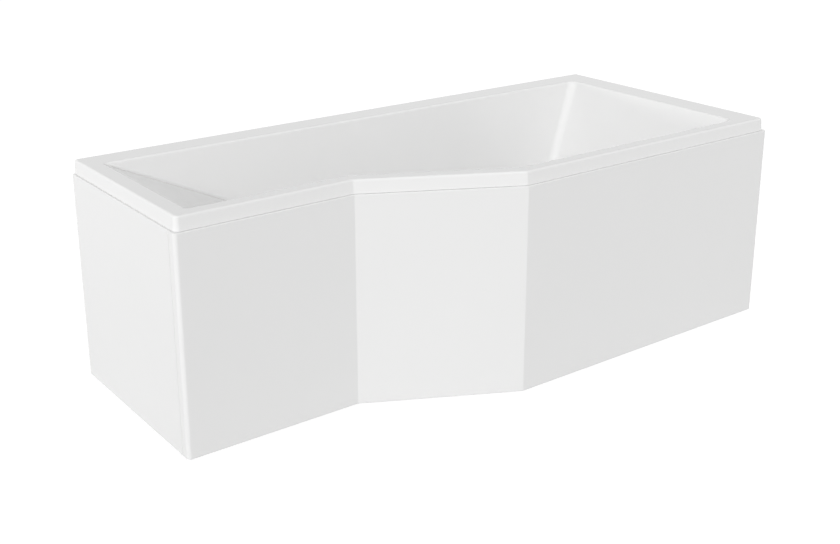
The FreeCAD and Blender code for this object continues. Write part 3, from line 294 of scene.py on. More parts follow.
class Finish(Tree):
    """A material whose patterns lie in object coordinates."""

    def __init__(self, name):
        self.material = bpy.data.materials.new(name)
        self.material.use_nodes = True
        super().__init__(self.material.node_tree)
        self.tree.nodes.clear()
        self.place = self.node("ShaderNodeTexCoord", {}, {}, "Object")

    def turned(self, scale, turn):
        """Object coordinates turned, then stretched."""
        spun = self.node("ShaderNodeMapping", {}, {"Vector": self.place, "Rotation": turn})
        return self.node("ShaderNodeMapping", {}, {"Vector": spun, "Scale": scale})

    def noise(self, scale, detail=2.0, rough=0.5, place=None):
        """Cloudy value between 0 and 1."""
        sockets = {"Vector": place or self.place, "Scale": scale, "Detail": detail, "Roughness": rough}
        return self.node("ShaderNodeTexNoise", {}, sockets)

    def cells(self, scale, place=None):
        """Grains of random shape, each of its own brightness."""
        sockets = {"Vector": place or self.place, "Scale": scale}
        colour = self.node("ShaderNodeTexVoronoi", {"feature": "F1"}, sockets, "Color")
        return self.node("ShaderNodeRGBToBW", {}, {"Color": colour})

    def spread(self, value, low, high):
        """A value stretched so that low becomes 0 and high becomes 1."""
        sockets = {"Value": value, "From Min": low, "From Max": high}
        return self.node("ShaderNodeMapRange", {"clamp": True}, sockets)

    def blend(self, share, first, second):
        """Mix of two colours."""
        sockets = {"Factor_Float": share, "A_Color": full(first), "B_Color": full(second)}
        return self.node("ShaderNodeMix", {"data_type": "RGBA"}, sockets, "Result_Color")

    def bump(self, height, distance, strength=1.0):
        """Normal of a relief, its depth in metres."""
        sockets = {"Height": height, "Distance": distance, "Strength": strength}
        return self.node("ShaderNodeBump", {}, sockets)

    def surface(self, **sockets):
        """Closes the material with its surface shader."""
        named = {}
        for key, value in sockets.items():
            named[key.replace("_", " ").title().replace("Ior", "IOR")] = value
        shader = self.node("ShaderNodeBsdfPrincipled", {}, named)
        self.node("ShaderNodeOutputMaterial", {}, {"Surface": shader})
        return self.material


def full(colour):
    """A colour with its alpha, or a link left as it is."""
    return colour if isinstance(colour, Tone) else (*colour, 1.0)


def shade(colour, factor):
    """A colour made lighter or darker."""
    return [min(1.0, part * factor) for part in colour]


def acrylic():
    """Gloss white sheet with the faint waviness of a vacuum-formed skin."""
    finish = Finish("gloss_acrylic")
    base = colours().acrylic
    cloud = finish.noise(5.0, 3.0)
    wave = finish.noise(14.0, 1.0, 0.4)
    haze = finish.noise(90.0, 4.0, 0.6)
    return finish.surface(base_color=finish.blend(cloud, shade(base, 0.993), shade(base, 1.007)),
                          roughness=0.09 + 0.05 * haze, ior=1.49,
                          normal=finish.bump(wave, 0.0006, 0.35))


def glass_fibre():
    """Rough resin with short glass strands lying every way."""
    finish = Finish("chopped_strand_laminate")
    strands = None
    for number, turn in enumerate((0.3, 1.1, 1.9, 2.7)):
        place = finish.turned((14.0, 260.0, 150.0), (0.7 * number, 0.5 * turn, turn))
        streak = finish.spread(finish.noise(1.0, 2.0, 0.6, place), 0.58, 0.70)
        strands = streak if strands is None else strands + streak
    strands = finish.spread(strands, 0.0, 1.3)
    lump = finish.noise(26.0, 4.0, 0.6)
    grain = finish.noise(300.0, 3.0, 0.6)
    resin = finish.blend(lump, shade(colours().glass_fibre, 0.78), shade(colours().glass_fibre, 1.12))
    height = 0.55 * lump + 0.35 * strands + 0.1 * grain
    return finish.surface(base_color=finish.blend(0.62 * strands, resin, colours().strand),
                          roughness=0.62 - 0.22 * strands, normal=finish.bump(height, 0.0035))


def chipboard():
    """Raw board of pressed chips."""
    finish = Finish("raw_chipboard")
    place = finish.turned((150.0, 330.0, 420.0), (0.0, 0.0, 0.6))
    cross = finish.turned((360.0, 140.0, 420.0), (0.0, 0.0, 0.25))
    chip = finish.cells(1.0, place)
    other = finish.cells(1.0, cross)
    dust = finish.noise(900.0, 3.0, 0.6)
    share = finish.spread(0.5 * chip + 0.35 * other + 0.25 * dust, 0.2, 0.85)
    return finish.surface(base_color=finish.blend(share, colours().chip_dark, colours().chip_pale),
                          roughness=0.78 + 0.1 * dust,
                          normal=finish.bump(0.5 * chip + 0.5 * dust, 0.0008))


def softwood(name, turn):
    """Sawn batten with its grain along a direction in plan."""
    finish = Finish(name)
    along = finish.turned((2.2, 60.0, 60.0), (0.0, 0.0, -turn))
    wander = finish.noise(1.0, 3.0, 0.55, along)
    shape = {"wave_type": "RINGS", "rings_direction": "X", "wave_profile": "SAW"}
    rings = finish.node("ShaderNodeTexWave", shape,
                        {"Vector": finish.turned((0.5, 3.0, 3.0), (0.05, 0.03, -turn)), "Scale": 26.0,
                         "Distortion": 5.0, "Detail": 2.0, "Detail Scale": 1.2}, "Fac")
    fibre = finish.noise(1.0, 4.0, 0.7, finish.turned((14.0, 900.0, 900.0), (0.0, 0.0, -turn)))
    late = finish.spread(0.7 * rings + 0.35 * wander + 0.2 * fibre, 0.35, 1.0)
    return finish.surface(base_color=finish.blend(late, colours().wood_pale, colours().wood_dark),
                          roughness=0.66 + 0.12 * fibre,
                          normal=finish.bump(0.6 * fibre - 0.4 * late, 0.0006))


def galvanised():
    """Dipped steel with its crystal spangle."""
    finish = Finish("galvanised_spangle")
    spangle = finish.cells(75.0)
    small = finish.cells(190.0)
    cloud = finish.noise(18.0, 3.0, 0.6)
    share = finish.spread(0.6 * spangle + 0.25 * small + 0.3 * cloud, 0.2, 0.95)
    base = colours().galvanised
    return finish.surface(base_color=finish.blend(share, shade(base, 0.72), shade(base, 1.16)),
                          metallic=1.0, roughness=0.30 + 0.26 * (1.0 - share),
                          normal=finish.bump(0.5 * spangle + 0.5 * cloud, 0.0003, 0.5))


def plated(name, base, dull):
    """Turned metal with a thin plating."""
    finish = Finish(name)
    cloud = finish.noise(160.0, 4.0, 0.6)
    stain = finish.noise(32.0, 2.0)
    return finish.surface(base_color=finish.blend(stain, shade(base, 0.85), shade(base, 1.08)),
                          metallic=1.0, roughness=dull + 0.14 * cloud,
                          normal=finish.bump(cloud, 0.0001, 0.4))


def chrome():
    """Polished chrome with a trace of wiping."""
    finish = Finish("polished_chrome")
    base = colours().chrome
    wipe = finish.noise(1.0, 3.0, 0.6, finish.turned((60.0, 60.0, 420.0), (0.3, 0.2, 0.0)))
    haze = finish.noise(45.0, 2.0)
    return finish.surface(base_color=finish.blend(haze, shade(base, 0.97), shade(base, 1.02)),
                          metallic=1.0, roughness=0.045 + 0.05 * wipe)


def moulded(name, base, dull, relief):
    """Moulded plastic or rubber with a fine eroded skin."""
    finish = Finish(name)
    grain = finish.noise(1300.0, 3.0, 0.6)
    cloud = finish.noise(40.0, 3.0)
    return finish.surface(base_color=finish.blend(cloud, shade(base, 0.90), shade(base, 1.10)),
                          roughness=dull + 0.12 * grain, normal=finish.bump(grain, relief))


def make_finishes():
    """Every finish of the bath, by name."""
    tone = colours()
    return {
        "acrylic": acrylic(),
        "glass_fibre": glass_fibre(),
        "chipboard": chipboard(),
        "wood_long": softwood("softwood_along", 0.0),
        "wood_cross": softwood("softwood_across", math.pi / 2),
        "wood_slant": softwood("softwood_slanting", -apron_turn()),
        "galvanised": galvanised(),
        "zinc": plated("bright_zinc", tone.zinc, dull=0.20),
        "brass": plated("turned_brass", tone.brass, dull=0.22),
        "chrome": chrome(),
        "black_plastic": moulded("black_polymer", tone.black_plastic, dull=0.42, relief=0.00006),
        "white_plastic": moulded("white_polymer", tone.white_plastic, dull=0.30, relief=0.00003),
        "grey_plastic": moulded("grey_polymer", tone.grey_plastic, dull=0.40, relief=0.00005),
        "rubber": moulded("matt_rubber", tone.rubber, dull=0.70, relief=0.00010),
    }


FINISHES = {}


def finish_named(name):
    """A finish, made when it is first wanted."""
    if not FINISHES:
        FINISHES.update(make_finishes())
    return FINISHES[name]


# Meshes

def new_piece(name, points, faces):
    """An object at the origin with a mesh of points and faces."""
    mesh = bpy.data.meshes.new(name)
    mesh.from_pydata([tuple(point) for point in points], [], faces)
    mesh.update()
    piece = bpy.data.objects.new(name, mesh)
    bpy.context.scene.collection.objects.link(piece)
    return piece


def baked(piece):
    """Turns a piece's modifiers into plain mesh."""
    graph = bpy.context.evaluated_depsgraph_get()
    mesh = bpy.data.meshes.new_from_object(piece.evaluated_get(graph))
    piece.modifiers.clear()
    piece.data = mesh
    return piece


def cleaned(piece):
    """Merges points that coincide and drops faces without area."""
    work = bmesh.new()
    work.from_mesh(piece.data)
    bmesh.ops.remove_doubles(work, verts=work.verts, dist=MERGE)
    bmesh.ops.dissolve_degenerate(work, edges=work.edges, dist=MERGE)
    work.to_mesh(piece.data)
    work.free()
    return piece


def softened(piece, angle=STRAIGHT_BREAK):
    """Smooth shading with sharp edges kept, weighted by face area."""
    piece.data.shade_smooth()
    piece.data.set_sharp_from_angle(angle=angle)
    normals = piece.modifiers.new("even_normals", "WEIGHTED_NORMAL")
    normals.keep_sharp = True
    normals.weight = NORMAL_WEIGHT
    return piece


def dressed(piece, body, finish, node):
    """Gives a piece its finish and its body, and hides the node that it stands for."""
    piece.data.materials.clear()
    piece.data.materials.append(finish_named(finish))
    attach(piece, body)
    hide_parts(node)
    return piece


def merged_copy(node):
    """A copy of a node with its loose triangles joined."""
    piece = bpy.data.objects.new(node + "_skin", frame["nodes"][node].data.copy())
    bpy.context.scene.collection.objects.link(piece)
    return cleaned(piece)


def smooth_copy(node, body, slot, finish, angle=ROUND_BREAK):
    """A node's round shape with smooth shading."""
    return dressed(softened(merged_copy(node), angle), body, finish, node)


def eased_copy(node, body, finish, edge, segments=2):
    """A node's straight shape with its sharp edges rounded."""
    piece = merged_copy(node)
    work = bmesh.new()
    work.from_mesh(piece.data)
    bmesh.ops.dissolve_limit(work, angle_limit=FLAT_ANGLE, verts=work.verts, edges=work.edges)
    crisp = [line for line in work.edges if line.is_manifold and line.calc_face_angle(0) > CRISP_ANGLE]
    long = [line for line in crisp if line.calc_length() > LONG_EDGE * edge]
    bmesh.ops.bevel(work, geom=long, offset=edge, segments=segments, profile=0.5,
                    affect="EDGES", clamp_overlap=True)
    work.to_mesh(piece.data)
    work.free()
    return dressed(softened(cleaned(piece)), body, finish, node)


def painted(node, finish):
    """A node that stays as it is, with its finish."""
    data = frame["nodes"][node].data
    data.materials.clear()
    data.materials.append(finish_named(finish))


# Plan of the bath

def narrow_front():
    """Y of the apron's narrow face."""
    return CAD_HIGH.y - sizes().narrow_depth


def apron_turn():
    """Angle in plan from the apron's straight faces to its slanting one."""
    size = sizes()
    return math.atan2(narrow_front() - CAD_LOW.y, size.fold_end - size.fold_start)


def plan(left, front, right, back):
    """Corners of the plan, anticlockwise from the back left, each side moved in by its own distance."""
    size = sizes()
    narrow = narrow_front()
    corners = [Vector((CAD_LOW.x, CAD_HIGH.y)), Vector((CAD_LOW.x, narrow)),
               Vector((CAD_LOW.x + size.fold_start, narrow)),
               Vector((CAD_LOW.x + size.fold_end, CAD_LOW.y)),
               Vector((CAD_HIGH.x, CAD_LOW.y)), Vector((CAD_HIGH.x, CAD_HIGH.y))]
    lines = []
    for number, inset in enumerate((left, front, front, front, right, back)):
        along = (corners[(number + 1) % len(corners)] - corners[number]).normalized()
        lines.append((corners[number] + Vector((-along.y, along.x)) * inset, along))
    moved = []
    for (first, before), (second, after) in zip([lines[-1]] + lines[:-1], lines):
        step = second - first
        moved.append(first + before * (step.cross(after) / before.cross(after)))
    return moved


def corner_arc(before, corner, after, radius, count):
    """Points of a rounded corner."""
    back = (before - corner).normalized()
    ahead = (after - corner).normalized()
    turn = math.pi - back.angle(ahead)
    reach = radius * math.tan(turn / 2)
    centre = corner + (back + ahead).normalized() * (radius / math.cos(turn / 2))
    start = corner + back * reach - centre
    end = corner + ahead * reach - centre
    points = []
    for step in range(count):
        share = step / (count - 1)
        arm = start * math.sin((1 - share) * turn) + end * math.sin(share * turn)
        points.append(centre + arm / math.sin(turn))
    return points


def between(start, end, count):
    """Points inside a straight side."""
    return [start + (end - start) * (step / (count + 1)) for step in range(1, count + 1)]


def rim_loop(insets, radii, heights):
    """Closed loop round the rim, each of its sides at its own height."""
    corners = plan(*insets)
    counts = (CORNER_POINTS, CORNER_POINTS, FOLD_POINTS, FOLD_POINTS, CORNER_POINTS, CORNER_POINTS)
    arcs = []
    for number, corner in enumerate(corners):
        arc = corner_arc(corners[number - 1], corner, corners[(number + 1) % len(corners)],
                         radii[number], counts[number])
        low = heights[number - 1]
        rise = heights[number] - low
        last = len(arc) - 1
        arcs.append([Vector((*point, low + rise * step / last)) for step, point in enumerate(arc)])
    loop = []
    for number, sides in enumerate(SIDE_POINTS.values()):
        loop += arcs[number]
        loop += between(arcs[number][-1], arcs[(number + 1) % len(arcs)][0], sides)
    return loop


class FrontWall:
    """Line of the basin's front wall in plan, with its two folds."""

    def __init__(self, inset, grow):
        size = sizes()
        self.turn = apron_turn()
        shift = inset * math.tan(self.turn / 2)
        self.narrow = narrow_front() + inset
        self.wide = CAD_LOW.y + inset
        self.first = CAD_LOW.x + size.fold_start + shift
        self.second = CAD_LOW.x + size.fold_end + shift
        self.inner = size.basin_fold - grow
        self.outer = size.basin_fold + grow

    def depth(self, x):
        """Y of the wall at an X."""
        start = self.first - self.inner * math.tan(self.turn / 2)
        end = self.second + self.outer * math.tan(self.turn / 2)
        if x <= start:
            return self.narrow
        if x < start + self.inner * math.sin(self.turn):
            return self.narrow - self.inner + math.sqrt(self.inner ** 2 - (x - start) ** 2)
        if x <= end - self.outer * math.sin(self.turn):
            return self.narrow - math.tan(self.turn) * (x - self.first)
        if x < end:
            return self.wide + self.outer - math.sqrt(self.outer ** 2 - (end - x) ** 2)
        return self.wide


def basin_loop(slope_x, front, right, back, edge, corner, heights, grow=0.0):
    """Closed loop round the basin: slope, front, foot end and back, each at its own height."""
    wall = FrontWall(front, grow)
    across, along = edge
    right_x = CAD_HIGH.x - right
    back_y = CAD_HIGH.y - back
    slope_z, front_z, right_z, back_z = heights
    quarter = [math.pi / 2 * step / (CORNER_POINTS - 1) for step in range(CORNER_POINTS)]

    back_corner = []
    front_corner = []
    right_front = []
    right_back = []
    for angle in quarter:
        share = angle / (math.pi / 2)
        x = slope_x + along * (1 - math.sin(angle))
        y = back_y - across * (1 - math.cos(angle))
        back_corner.append(Vector((x, y, back_z + (slope_z - back_z) * share)))
        x = slope_x + along * (1 - math.cos(angle))
        y = wall.depth(x) + across * (1 - math.sin(angle))
        front_corner.append(Vector((x, y, slope_z + (front_z - slope_z) * share)))
        x = right_x - corner * (1 - math.sin(angle))
        y = wall.wide + corner * (1 - math.cos(angle))
        right_front.append(Vector((x, y, front_z + (right_z - front_z) * share)))
        x = right_x - corner * (1 - math.cos(angle))
        y = back_y - corner * (1 - math.sin(angle))
        right_back.append(Vector((x, y, right_z + (back_z - right_z) * share)))

    stops = [slope_x + along, wall.first - FOLD_REACH, wall.first + FOLD_REACH,
             wall.second - FOLD_REACH, wall.second + FOLD_REACH]
    for number in range(1, len(stops)):
        stops[number] = max(stops[number], stops[number - 1] + SQUEEZE)
    stops.append(right_x - corner)

    def run(start, end, count, ends):
        """Points along the front wall, with or without both ends."""
        shares = [step / (count - 1) for step in range(count)]
        if not ends:
            shares = [step / (count + 1) for step in range(1, count + 1)]
        places = [start + (end - start) * share for share in shares]
        return [Vector((x, wall.depth(x), front_z)) for x in places]

    loop = back_corner + between(back_corner[-1], front_corner[0], SIDE_POINTS["left"]) + front_corner
    loop += run(stops[0], stops[1], SIDE_POINTS["narrow"], False)
    loop += run(stops[1], stops[2], FOLD_POINTS, True)
    loop += run(stops[2], stops[3], SIDE_POINTS["slant"], False)
    loop += run(stops[3], stops[4], FOLD_POINTS, True)
    loop += run(stops[4], stops[5], SIDE_POINTS["wide"], False) + right_front
    loop += between(right_front[-1], right_back[0], SIDE_POINTS["right"]) + right_back
    return loop + between(right_back[-1], back_corner[0], SIDE_POINTS["back"])


def floor_turn(height, radius, lean):
    """How far the rounding at the floor turns a leaning wall in, at a height above the floor."""
    if height >= radius * (1 - math.sin(lean)):
        return 0.0
    reach = radius * math.tan((math.pi / 2 - lean) / 2)
    return reach + height * math.tan(lean) - math.sqrt(radius ** 2 - (radius - height) ** 2)


def basin_walls(grow, top):
    """Loops of the basin from a height down to its floor, grown outwards by a thickness."""
    size = sizes()
    depth = CAD_HIGH.z - size.basin_floor
    floor = size.basin_floor - grow
    side_lean = math.atan(size.side_lean / depth)
    end_lean = math.atan(size.end_lean / depth)
    slope = size.backrest
    foot = size.foot_round + grow
    reach = foot * math.tan(slope / 2)
    top_x = CAD_LOW.x + size.ledge_left
    fold_x = top_x + (CAD_HIGH.z - grow / math.cos(slope) - floor) / math.tan(slope)
    low_edge = size.edge_low + grow

    def slope_x(height):
        """X of the backrest, and of its rounding into the floor, at a height above the floor."""
        if height >= reach * math.sin(slope):
            return fold_x - height / math.tan(slope)
        return fold_x + reach - math.sqrt(foot ** 2 - (foot - height) ** 2)

    span = top - floor
    low_top = low_edge * (1 - math.cos(FLOOR_TURN))
    heights = [span - (span - low_top) * step / LEVELS for step in range(LEVELS)]
    for step in range(FLOOR_STEPS + 1):
        heights.append(low_edge * (1 - math.cos(FLOOR_TURN * (1 - step / FLOOR_STEPS))))
    loops = []
    for height in heights:
        share = (CAD_HIGH.z - floor - height) / depth
        turn = floor_turn(height, low_edge, side_lean)
        side = size.side_lean * share - grow / math.cos(side_lean) + turn
        end = size.end_lean * share - grow / math.cos(end_lean) + floor_turn(height, low_edge, end_lean)
        rise = max(0.0, (height - low_edge) / (span - low_edge))
        edge = low_edge + (size.edge_high - size.edge_low) * rise
        along = slope_x(max(height - edge / math.cos(slope), 0.0)) - slope_x(height)
        loops.append(basin_loop(slope_x(height), size.ledge_front + side, size.ledge_right + end,
                                size.ledge_back + side, (edge - turn, along),
                                size.basin_corner + grow - turn, [floor + height] * 4, grow))
    return loops


def mouth_loops():
    """Loops of the rounding where the rim's top turns down into the basin."""
    size = sizes()
    depth = CAD_HIGH.z - size.basin_floor
    radius = size.mouth_edge
    turns = [size.backrest, math.atan2(depth, size.side_lean), math.atan2(depth, size.end_lean)]
    loops = []
    for step in range(MOUTH_STEPS + 1):
        share = step / MOUTH_STEPS
        out = [radius * (math.tan(turn / 2) - math.sin(turn * share)) for turn in turns]
        drop = [CAD_HIGH.z - radius * (1 - math.cos(turn * share)) for turn in turns]
        edge = size.edge_high + max(out[1], 0.0)
        stretch = edge / math.sin(size.backrest)
        loops.append(basin_loop(CAD_LOW.x + size.ledge_left - out[0], size.ledge_front - out[1],
                                size.ledge_right - out[2], size.ledge_back - out[1], (edge, stretch),
                                size.basin_corner + max(out[1], 0.0), (drop[0], drop[1], drop[2], drop[1])))
    return loops


def lip_loops():
    """Loops from the lip's lower edge up and over to the rim's top."""
    size = sizes()
    rise = math.atan2(size.lip_height, size.lip_draft)
    upper = size.lip_step + size.lip_draft
    bottom = CAD_HIGH.z - size.lip_height

    def loop(front, front_z, back, back_z):
        """One loop, with the back's own inset and height."""
        fold = front - size.lip_step
        corner = size.rim_corner - fold
        radii = [corner, corner, size.rim_fold + fold, size.rim_fold - fold, corner, corner]
        return rim_loop((front, front, front, back), [max(radius, RIM_LEAST) for radius in radii],
                        [front_z] * 5 + [back_z])

    def turned(step, angle, edge):
        """Inset and height of a step round the rim's edge."""
        share = angle * step / ROUND_STEPS
        reach = size.rim_edge * math.tan(angle / 2)
        inset = edge - reach * math.cos(angle) + size.rim_edge * (math.sin(angle) - math.sin(angle - share))
        drop = reach * math.sin(angle) - size.rim_edge * (math.cos(angle - share) - math.cos(angle))
        return inset, CAD_HIGH.z - drop

    loops = [loop(size.lip_step, bottom, 0.0, bottom)]
    for step in range(ROUND_STEPS + 1):
        loops.append(loop(*turned(step, rise, upper), *turned(step, math.pi / 2, 0.0)))
    return loops


def lofted(name, loops):
    """Skin through loops of equal count, closed by a floor at the last."""
    count = len(loops[0])
    faces = []
    for row in range(len(loops) - 1):
        for step in range(count):
            following = (step + 1) % count
            faces.append((row * count + step, row * count + following,
                          (row + 1) * count + following, (row + 1) * count + step))
    faces.append(tuple(range((len(loops) - 1) * count, len(loops) * count)))
    return new_piece(name, [point for loop in loops for point in loop], faces)


def thickened(piece, wall):
    """Gives a skin its wall, on the side away from the water."""
    solid = piece.modifiers.new("wall", "SOLIDIFY")
    solid.thickness = wall
    solid.offset = -1
    return baked(piece)


def overflow_axis():
    """Middle and direction of the overflow, from the joint of its knob."""
    joint = next(joint for joint in frame["joints"] if joint["name"] == "overflow_knob_turn")
    return Vector(joint["pos_m"]), Vector(joint["axis"]).normalized()


def drilled(piece):
    """Cuts the holes for the waste and the overflow."""
    size = sizes()
    waste = (WASTE_LOW + WASTE_HIGH) / 2
    spot, axis = overflow_axis()
    holes = ((waste, Vector((0, 0, 1)), size.waste_hole), (spot, axis, size.overflow_hole))
    for centre, direction, radius in holes:
        work = bmesh.new()
        bmesh.ops.create_cone(work, cap_ends=True, segments=DRILL_POINTS, radius1=radius, radius2=radius,
                              depth=2 * DRILL_REACH * size.skin)
        turn = direction.to_track_quat("Z", "Y").to_matrix().to_4x4()
        work.transform(Matrix.Translation(centre) @ turn)
        drill = new_piece("drill", [], [])
        work.to_mesh(drill.data)
        work.free()
        cut = piece.modifiers.new("hole", "BOOLEAN")
        cut.operation = "DIFFERENCE"
        cut.solver = "EXACT"
        cut.object = drill
        baked(piece)
        bpy.data.objects.remove(drill)
    return piece


def formed(name, loops, wall, finish, node):
    """A skin with its wall, its two holes and its finish."""
    piece = drilled(thickened(cleaned(lofted(name, loops)), wall))
    return dressed(softened(piece, SKIN_BREAK), "bath", finish, node)


class MakeShell(bpy.types.Operator):
    """Rim, lip and basin as one acrylic skin"""

    bl_idname = "corner_bath.shell"
    bl_label = "Acrylic shell"

    def execute(self, context):
        size = sizes()
        first_row = CAD_HIGH.z - FIRST_ROW * size.mouth_edge
        loops = lip_loops() + mouth_loops() + basin_walls(0.0, first_row)
        formed("acrylic_shell", loops, size.skin, "acrylic", "bath_shell")
        return {"FINISHED"}


class MakeBacking(bpy.types.Operator):
    """Glass-fibre layer under the basin, rough as it is sprayed"""

    bl_idname = "corner_bath.backing"
    bl_label = "Glass-fibre backing"

    def execute(self, context):
        size = sizes()
        inner = size.skin + size.bond
        wall = size.basin_floor - inner - BACKING_LOW.z
        formed("strand_backing", basin_walls(inner, BACKING_HIGH.z), wall, "glass_fibre", "grp_backing")
        return {"FINISHED"}


def panel_section():
    """Inset and height round the panels' section: down the outside, then back up the inside."""
    size = sizes()
    top = PANEL_HIGH.z
    low = PANEL_LOW.z
    skin = size.panel_skin
    ease = size.cut_edge
    edge = size.panel_edge
    flange = size.panel_flange
    section = [(flange, top)]
    for step in range(ROUND_STEPS + 1):
        angle = math.pi / 2 * step / ROUND_STEPS
        section.append((edge * (1 - math.sin(angle)), top - edge * (1 - math.cos(angle))))
    section += [(0.0, low + ease), (ease, low), (flange, low), (flange, low + skin)]
    return section + [(skin, low + skin), (skin, top - skin), (flange, top - skin)]


def front_path(inset):
    """Plan line of the front panel from the seam round the near corner to the right end's return."""
    size = sizes()
    corners = plan(inset, inset, inset, inset)
    stops = [Vector((corners[0].x, PANEL_HIGH.y))] + corners[1:5]
    stops.append(Vector((corners[4].x, CAD_LOW.y + size.panel_return)))
    radii = (size.panel_corner - inset, size.panel_fold + inset,
             size.panel_fold - inset, size.panel_corner - inset)
    path = [stops[0]]
    for number, radius in enumerate(radii, 1):
        path += corner_arc(*stops[number - 1:number + 2], max(radius, PANEL_LEAST), CORNER_POINTS)
    return path + [stops[-1]]


def end_path(inset):
    """Plan line of the end panel from its return at the wall to the seam."""
    size = sizes()
    corner = plan(inset, inset, inset, inset + size.back_gap)[0]
    start = Vector((CAD_LOW.x + size.panel_return, corner.y))
    end = Vector((corner.x, END_LOW.y))
    arc = corner_arc(start, corner, end, max(size.panel_corner - inset, PANEL_LEAST), CORNER_POINTS)
    return [start] + arc + [end]


def swept_panel(name, path, node):
    """A panel's section carried along its plan line, with its cut edges eased."""
    rows = [[Vector((*point, height)) for point in path(inset)] for inset, height in panel_section()]
    count = len(rows[0])
    starts = [row * count for row in range(len(rows))]
    faces = [tuple(reversed(starts)), tuple(start + count - 1 for start in starts)]
    for start, following in zip(starts, starts[1:] + starts[:1]):
        for step in range(count - 1):
            faces.append((start + step, following + step, following + step + 1, start + step + 1))
    piece = new_piece(name, [point for row in rows for point in row], faces)
    ease = piece.modifiers.new("eased_cut", "BEVEL")
    ease.width = CUT_SHARE * sizes().cut_edge
    ease.segments = 2
    ease.limit_method = "ANGLE"
    ease.angle_limit = CUT_ANGLE
    return dressed(softened(baked(piece), SKIN_BREAK), "bath", "acrylic", node)


class MakePanels(bpy.types.Operator):
    """Front apron with its two folds, and the end panel"""

    bl_idname = "corner_bath.panels"
    bl_label = "Panels"

    def execute(self, context):
        swept_panel("front_apron", front_path, "front_panel")
        swept_panel("end_apron", end_path, "end_panel")
        return {"FINISHED"}


class MakeTimber(bpy.types.Operator):
    """Chipboard under the floor and battens under the rim"""

    bl_idname = "corner_bath.timber"
    bl_label = "Board and battens"

    def execute(self, context):
        painted("base_board", "chipboard")
        grain = {"left": "wood_cross", "right": "wood_cross", "slant": "wood_slant",
                 "narrow": "wood_long", "wide": "wood_long", "back": "wood_long"}
        for place, finish in grain.items():
            eased_copy("rim_batten_" + place, "bath", finish, BATTEN_EDGE)
        return {"FINISHED"}


class MakeLegFrame(bpy.types.Operator):
    """Square tubes, posts, struts, brackets and pads of the leg frame"""

    bl_idname = "corner_bath.leg_frame"
    bl_label = "Leg frame"

    def execute(self, context):
        edge = sizes().bar_edge
        for node in ("crossbar_left", "crossbar_mid", "crossbar_right", "rail_back", "rail_front",
                     "backrest_post_back", "backrest_post_front", "back_posts"):
            eased_copy(node, "bath", "galvanised", edge, 3)
        for node in ("front_struts", "wall_bracket_mid", "wall_bracket_right"):
            eased_copy(node, "bath", "galvanised", PLATE_EDGE)
        eased_copy("backrest_pads", "bath", "rubber", PAD_EDGE)
        return {"FINISHED"}


def open_group(name, output, **inputs):
    """A geometry tree with an output and named inputs, and the values of those inputs."""
    tree = Tree(bpy.data.node_groups.new(name, "GeometryNodeTree"))
    for label, kind in inputs.items():
        tree.tree.interface.new_socket(label, in_out="INPUT", socket_type="NodeSocket" + kind)
    tree.tree.interface.new_socket(output, in_out="OUTPUT", socket_type="NodeSocketGeometry")
    source = tree.tree.nodes.new("NodeGroupInput")
    return tree, [Tone(tree, socket) for socket in source.outputs[:len(inputs)]]


def close_group(tree, geometry, material):
    """Ends a geometry tree with real meshes of one finish."""
    real = tree.node("GeometryNodeRealizeInstances", {}, {"Geometry": geometry})
    named = tree.node("GeometryNodeSetMaterial", {}, {"Geometry": real, "Material": material})
    tree.node("NodeGroupOutput", {}, {0: named})
    return tree.tree


def thread_tree():
    """Node tree of a threaded stud: a core and a ridge that winds up it, with a bare pitch at each end."""
    tree, values = open_group("stud_thread", "Stud", Radius="Float", Length="Float", Pitch="Float",
                              Foot="Vector", Finish="Material")
    radius, rise, pitch, foot, material = values
    ridge = THREAD_REACH * pitch
    core = radius - ridge
    climb = rise - 2 * pitch
    coil = tree.node("GeometryNodeCurveSpiral", {},
                     {"Resolution": TURN_POINTS, "Rotations": climb * (pitch ** -1.0),
                      "Start Radius": core, "End Radius": core, "Height": climb})
    profile = tree.node("GeometryNodeCurvePrimitiveCircle", {},
                        {"Resolution": RIDGE_POINTS, "Radius": ridge})
    wound = tree.node("GeometryNodeCurveToMesh", {},
                      {"Curve": coil, "Profile Curve": profile, "Fill Caps": True})
    lift = tree.node("ShaderNodeCombineXYZ", {}, {"Z": pitch})
    wound = tree.node("GeometryNodeTransform", {}, {"Geometry": wound, "Translation": lift})
    rod = tree.node("GeometryNodeMeshCylinder", {},
                    {"Vertices": CORE_POINTS, "Radius": core, "Depth": rise})
    middle = tree.node("ShaderNodeCombineXYZ", {}, {"Z": 0.5 * rise})
    rod = tree.node("GeometryNodeTransform", {}, {"Geometry": rod, "Translation": middle})
    both = tree.tree.nodes.new("GeometryNodeJoinGeometry")
    tree.put(both.inputs[0], wound)
    tree.put(both.inputs[0], rod)
    joined = Tone(tree, both.outputs[0])
    placed = tree.node("GeometryNodeTransform", {}, {"Geometry": joined, "Translation": foot})
    return close_group(tree, placed, material)


def rib_tree():
    """Node tree of grip ribs that stand round a nut."""
    tree, values = open_group("nut_ribs", "Ribs", Count="Int", Radius="Float", Height="Float",
                              Width="Float", Middle="Vector", Turn="Vector", Finish="Material")
    count, radius, height, width, middle, turn, material = values
    ring = tree.node("GeometryNodeMeshCircle", {}, {"Vertices": count, "Radius": radius})
    rib = tree.node("GeometryNodeMeshCylinder", {},
                    {"Vertices": RIB_POINTS, "Radius": 0.5 * width, "Depth": height})
    many = tree.node("GeometryNodeInstanceOnPoints", {}, {"Points": ring, "Instance": rib})
    placed = tree.node("GeometryNodeTransform", {},
                       {"Geometry": many, "Translation": middle, "Rotation": turn})
    return close_group(tree, placed, material)


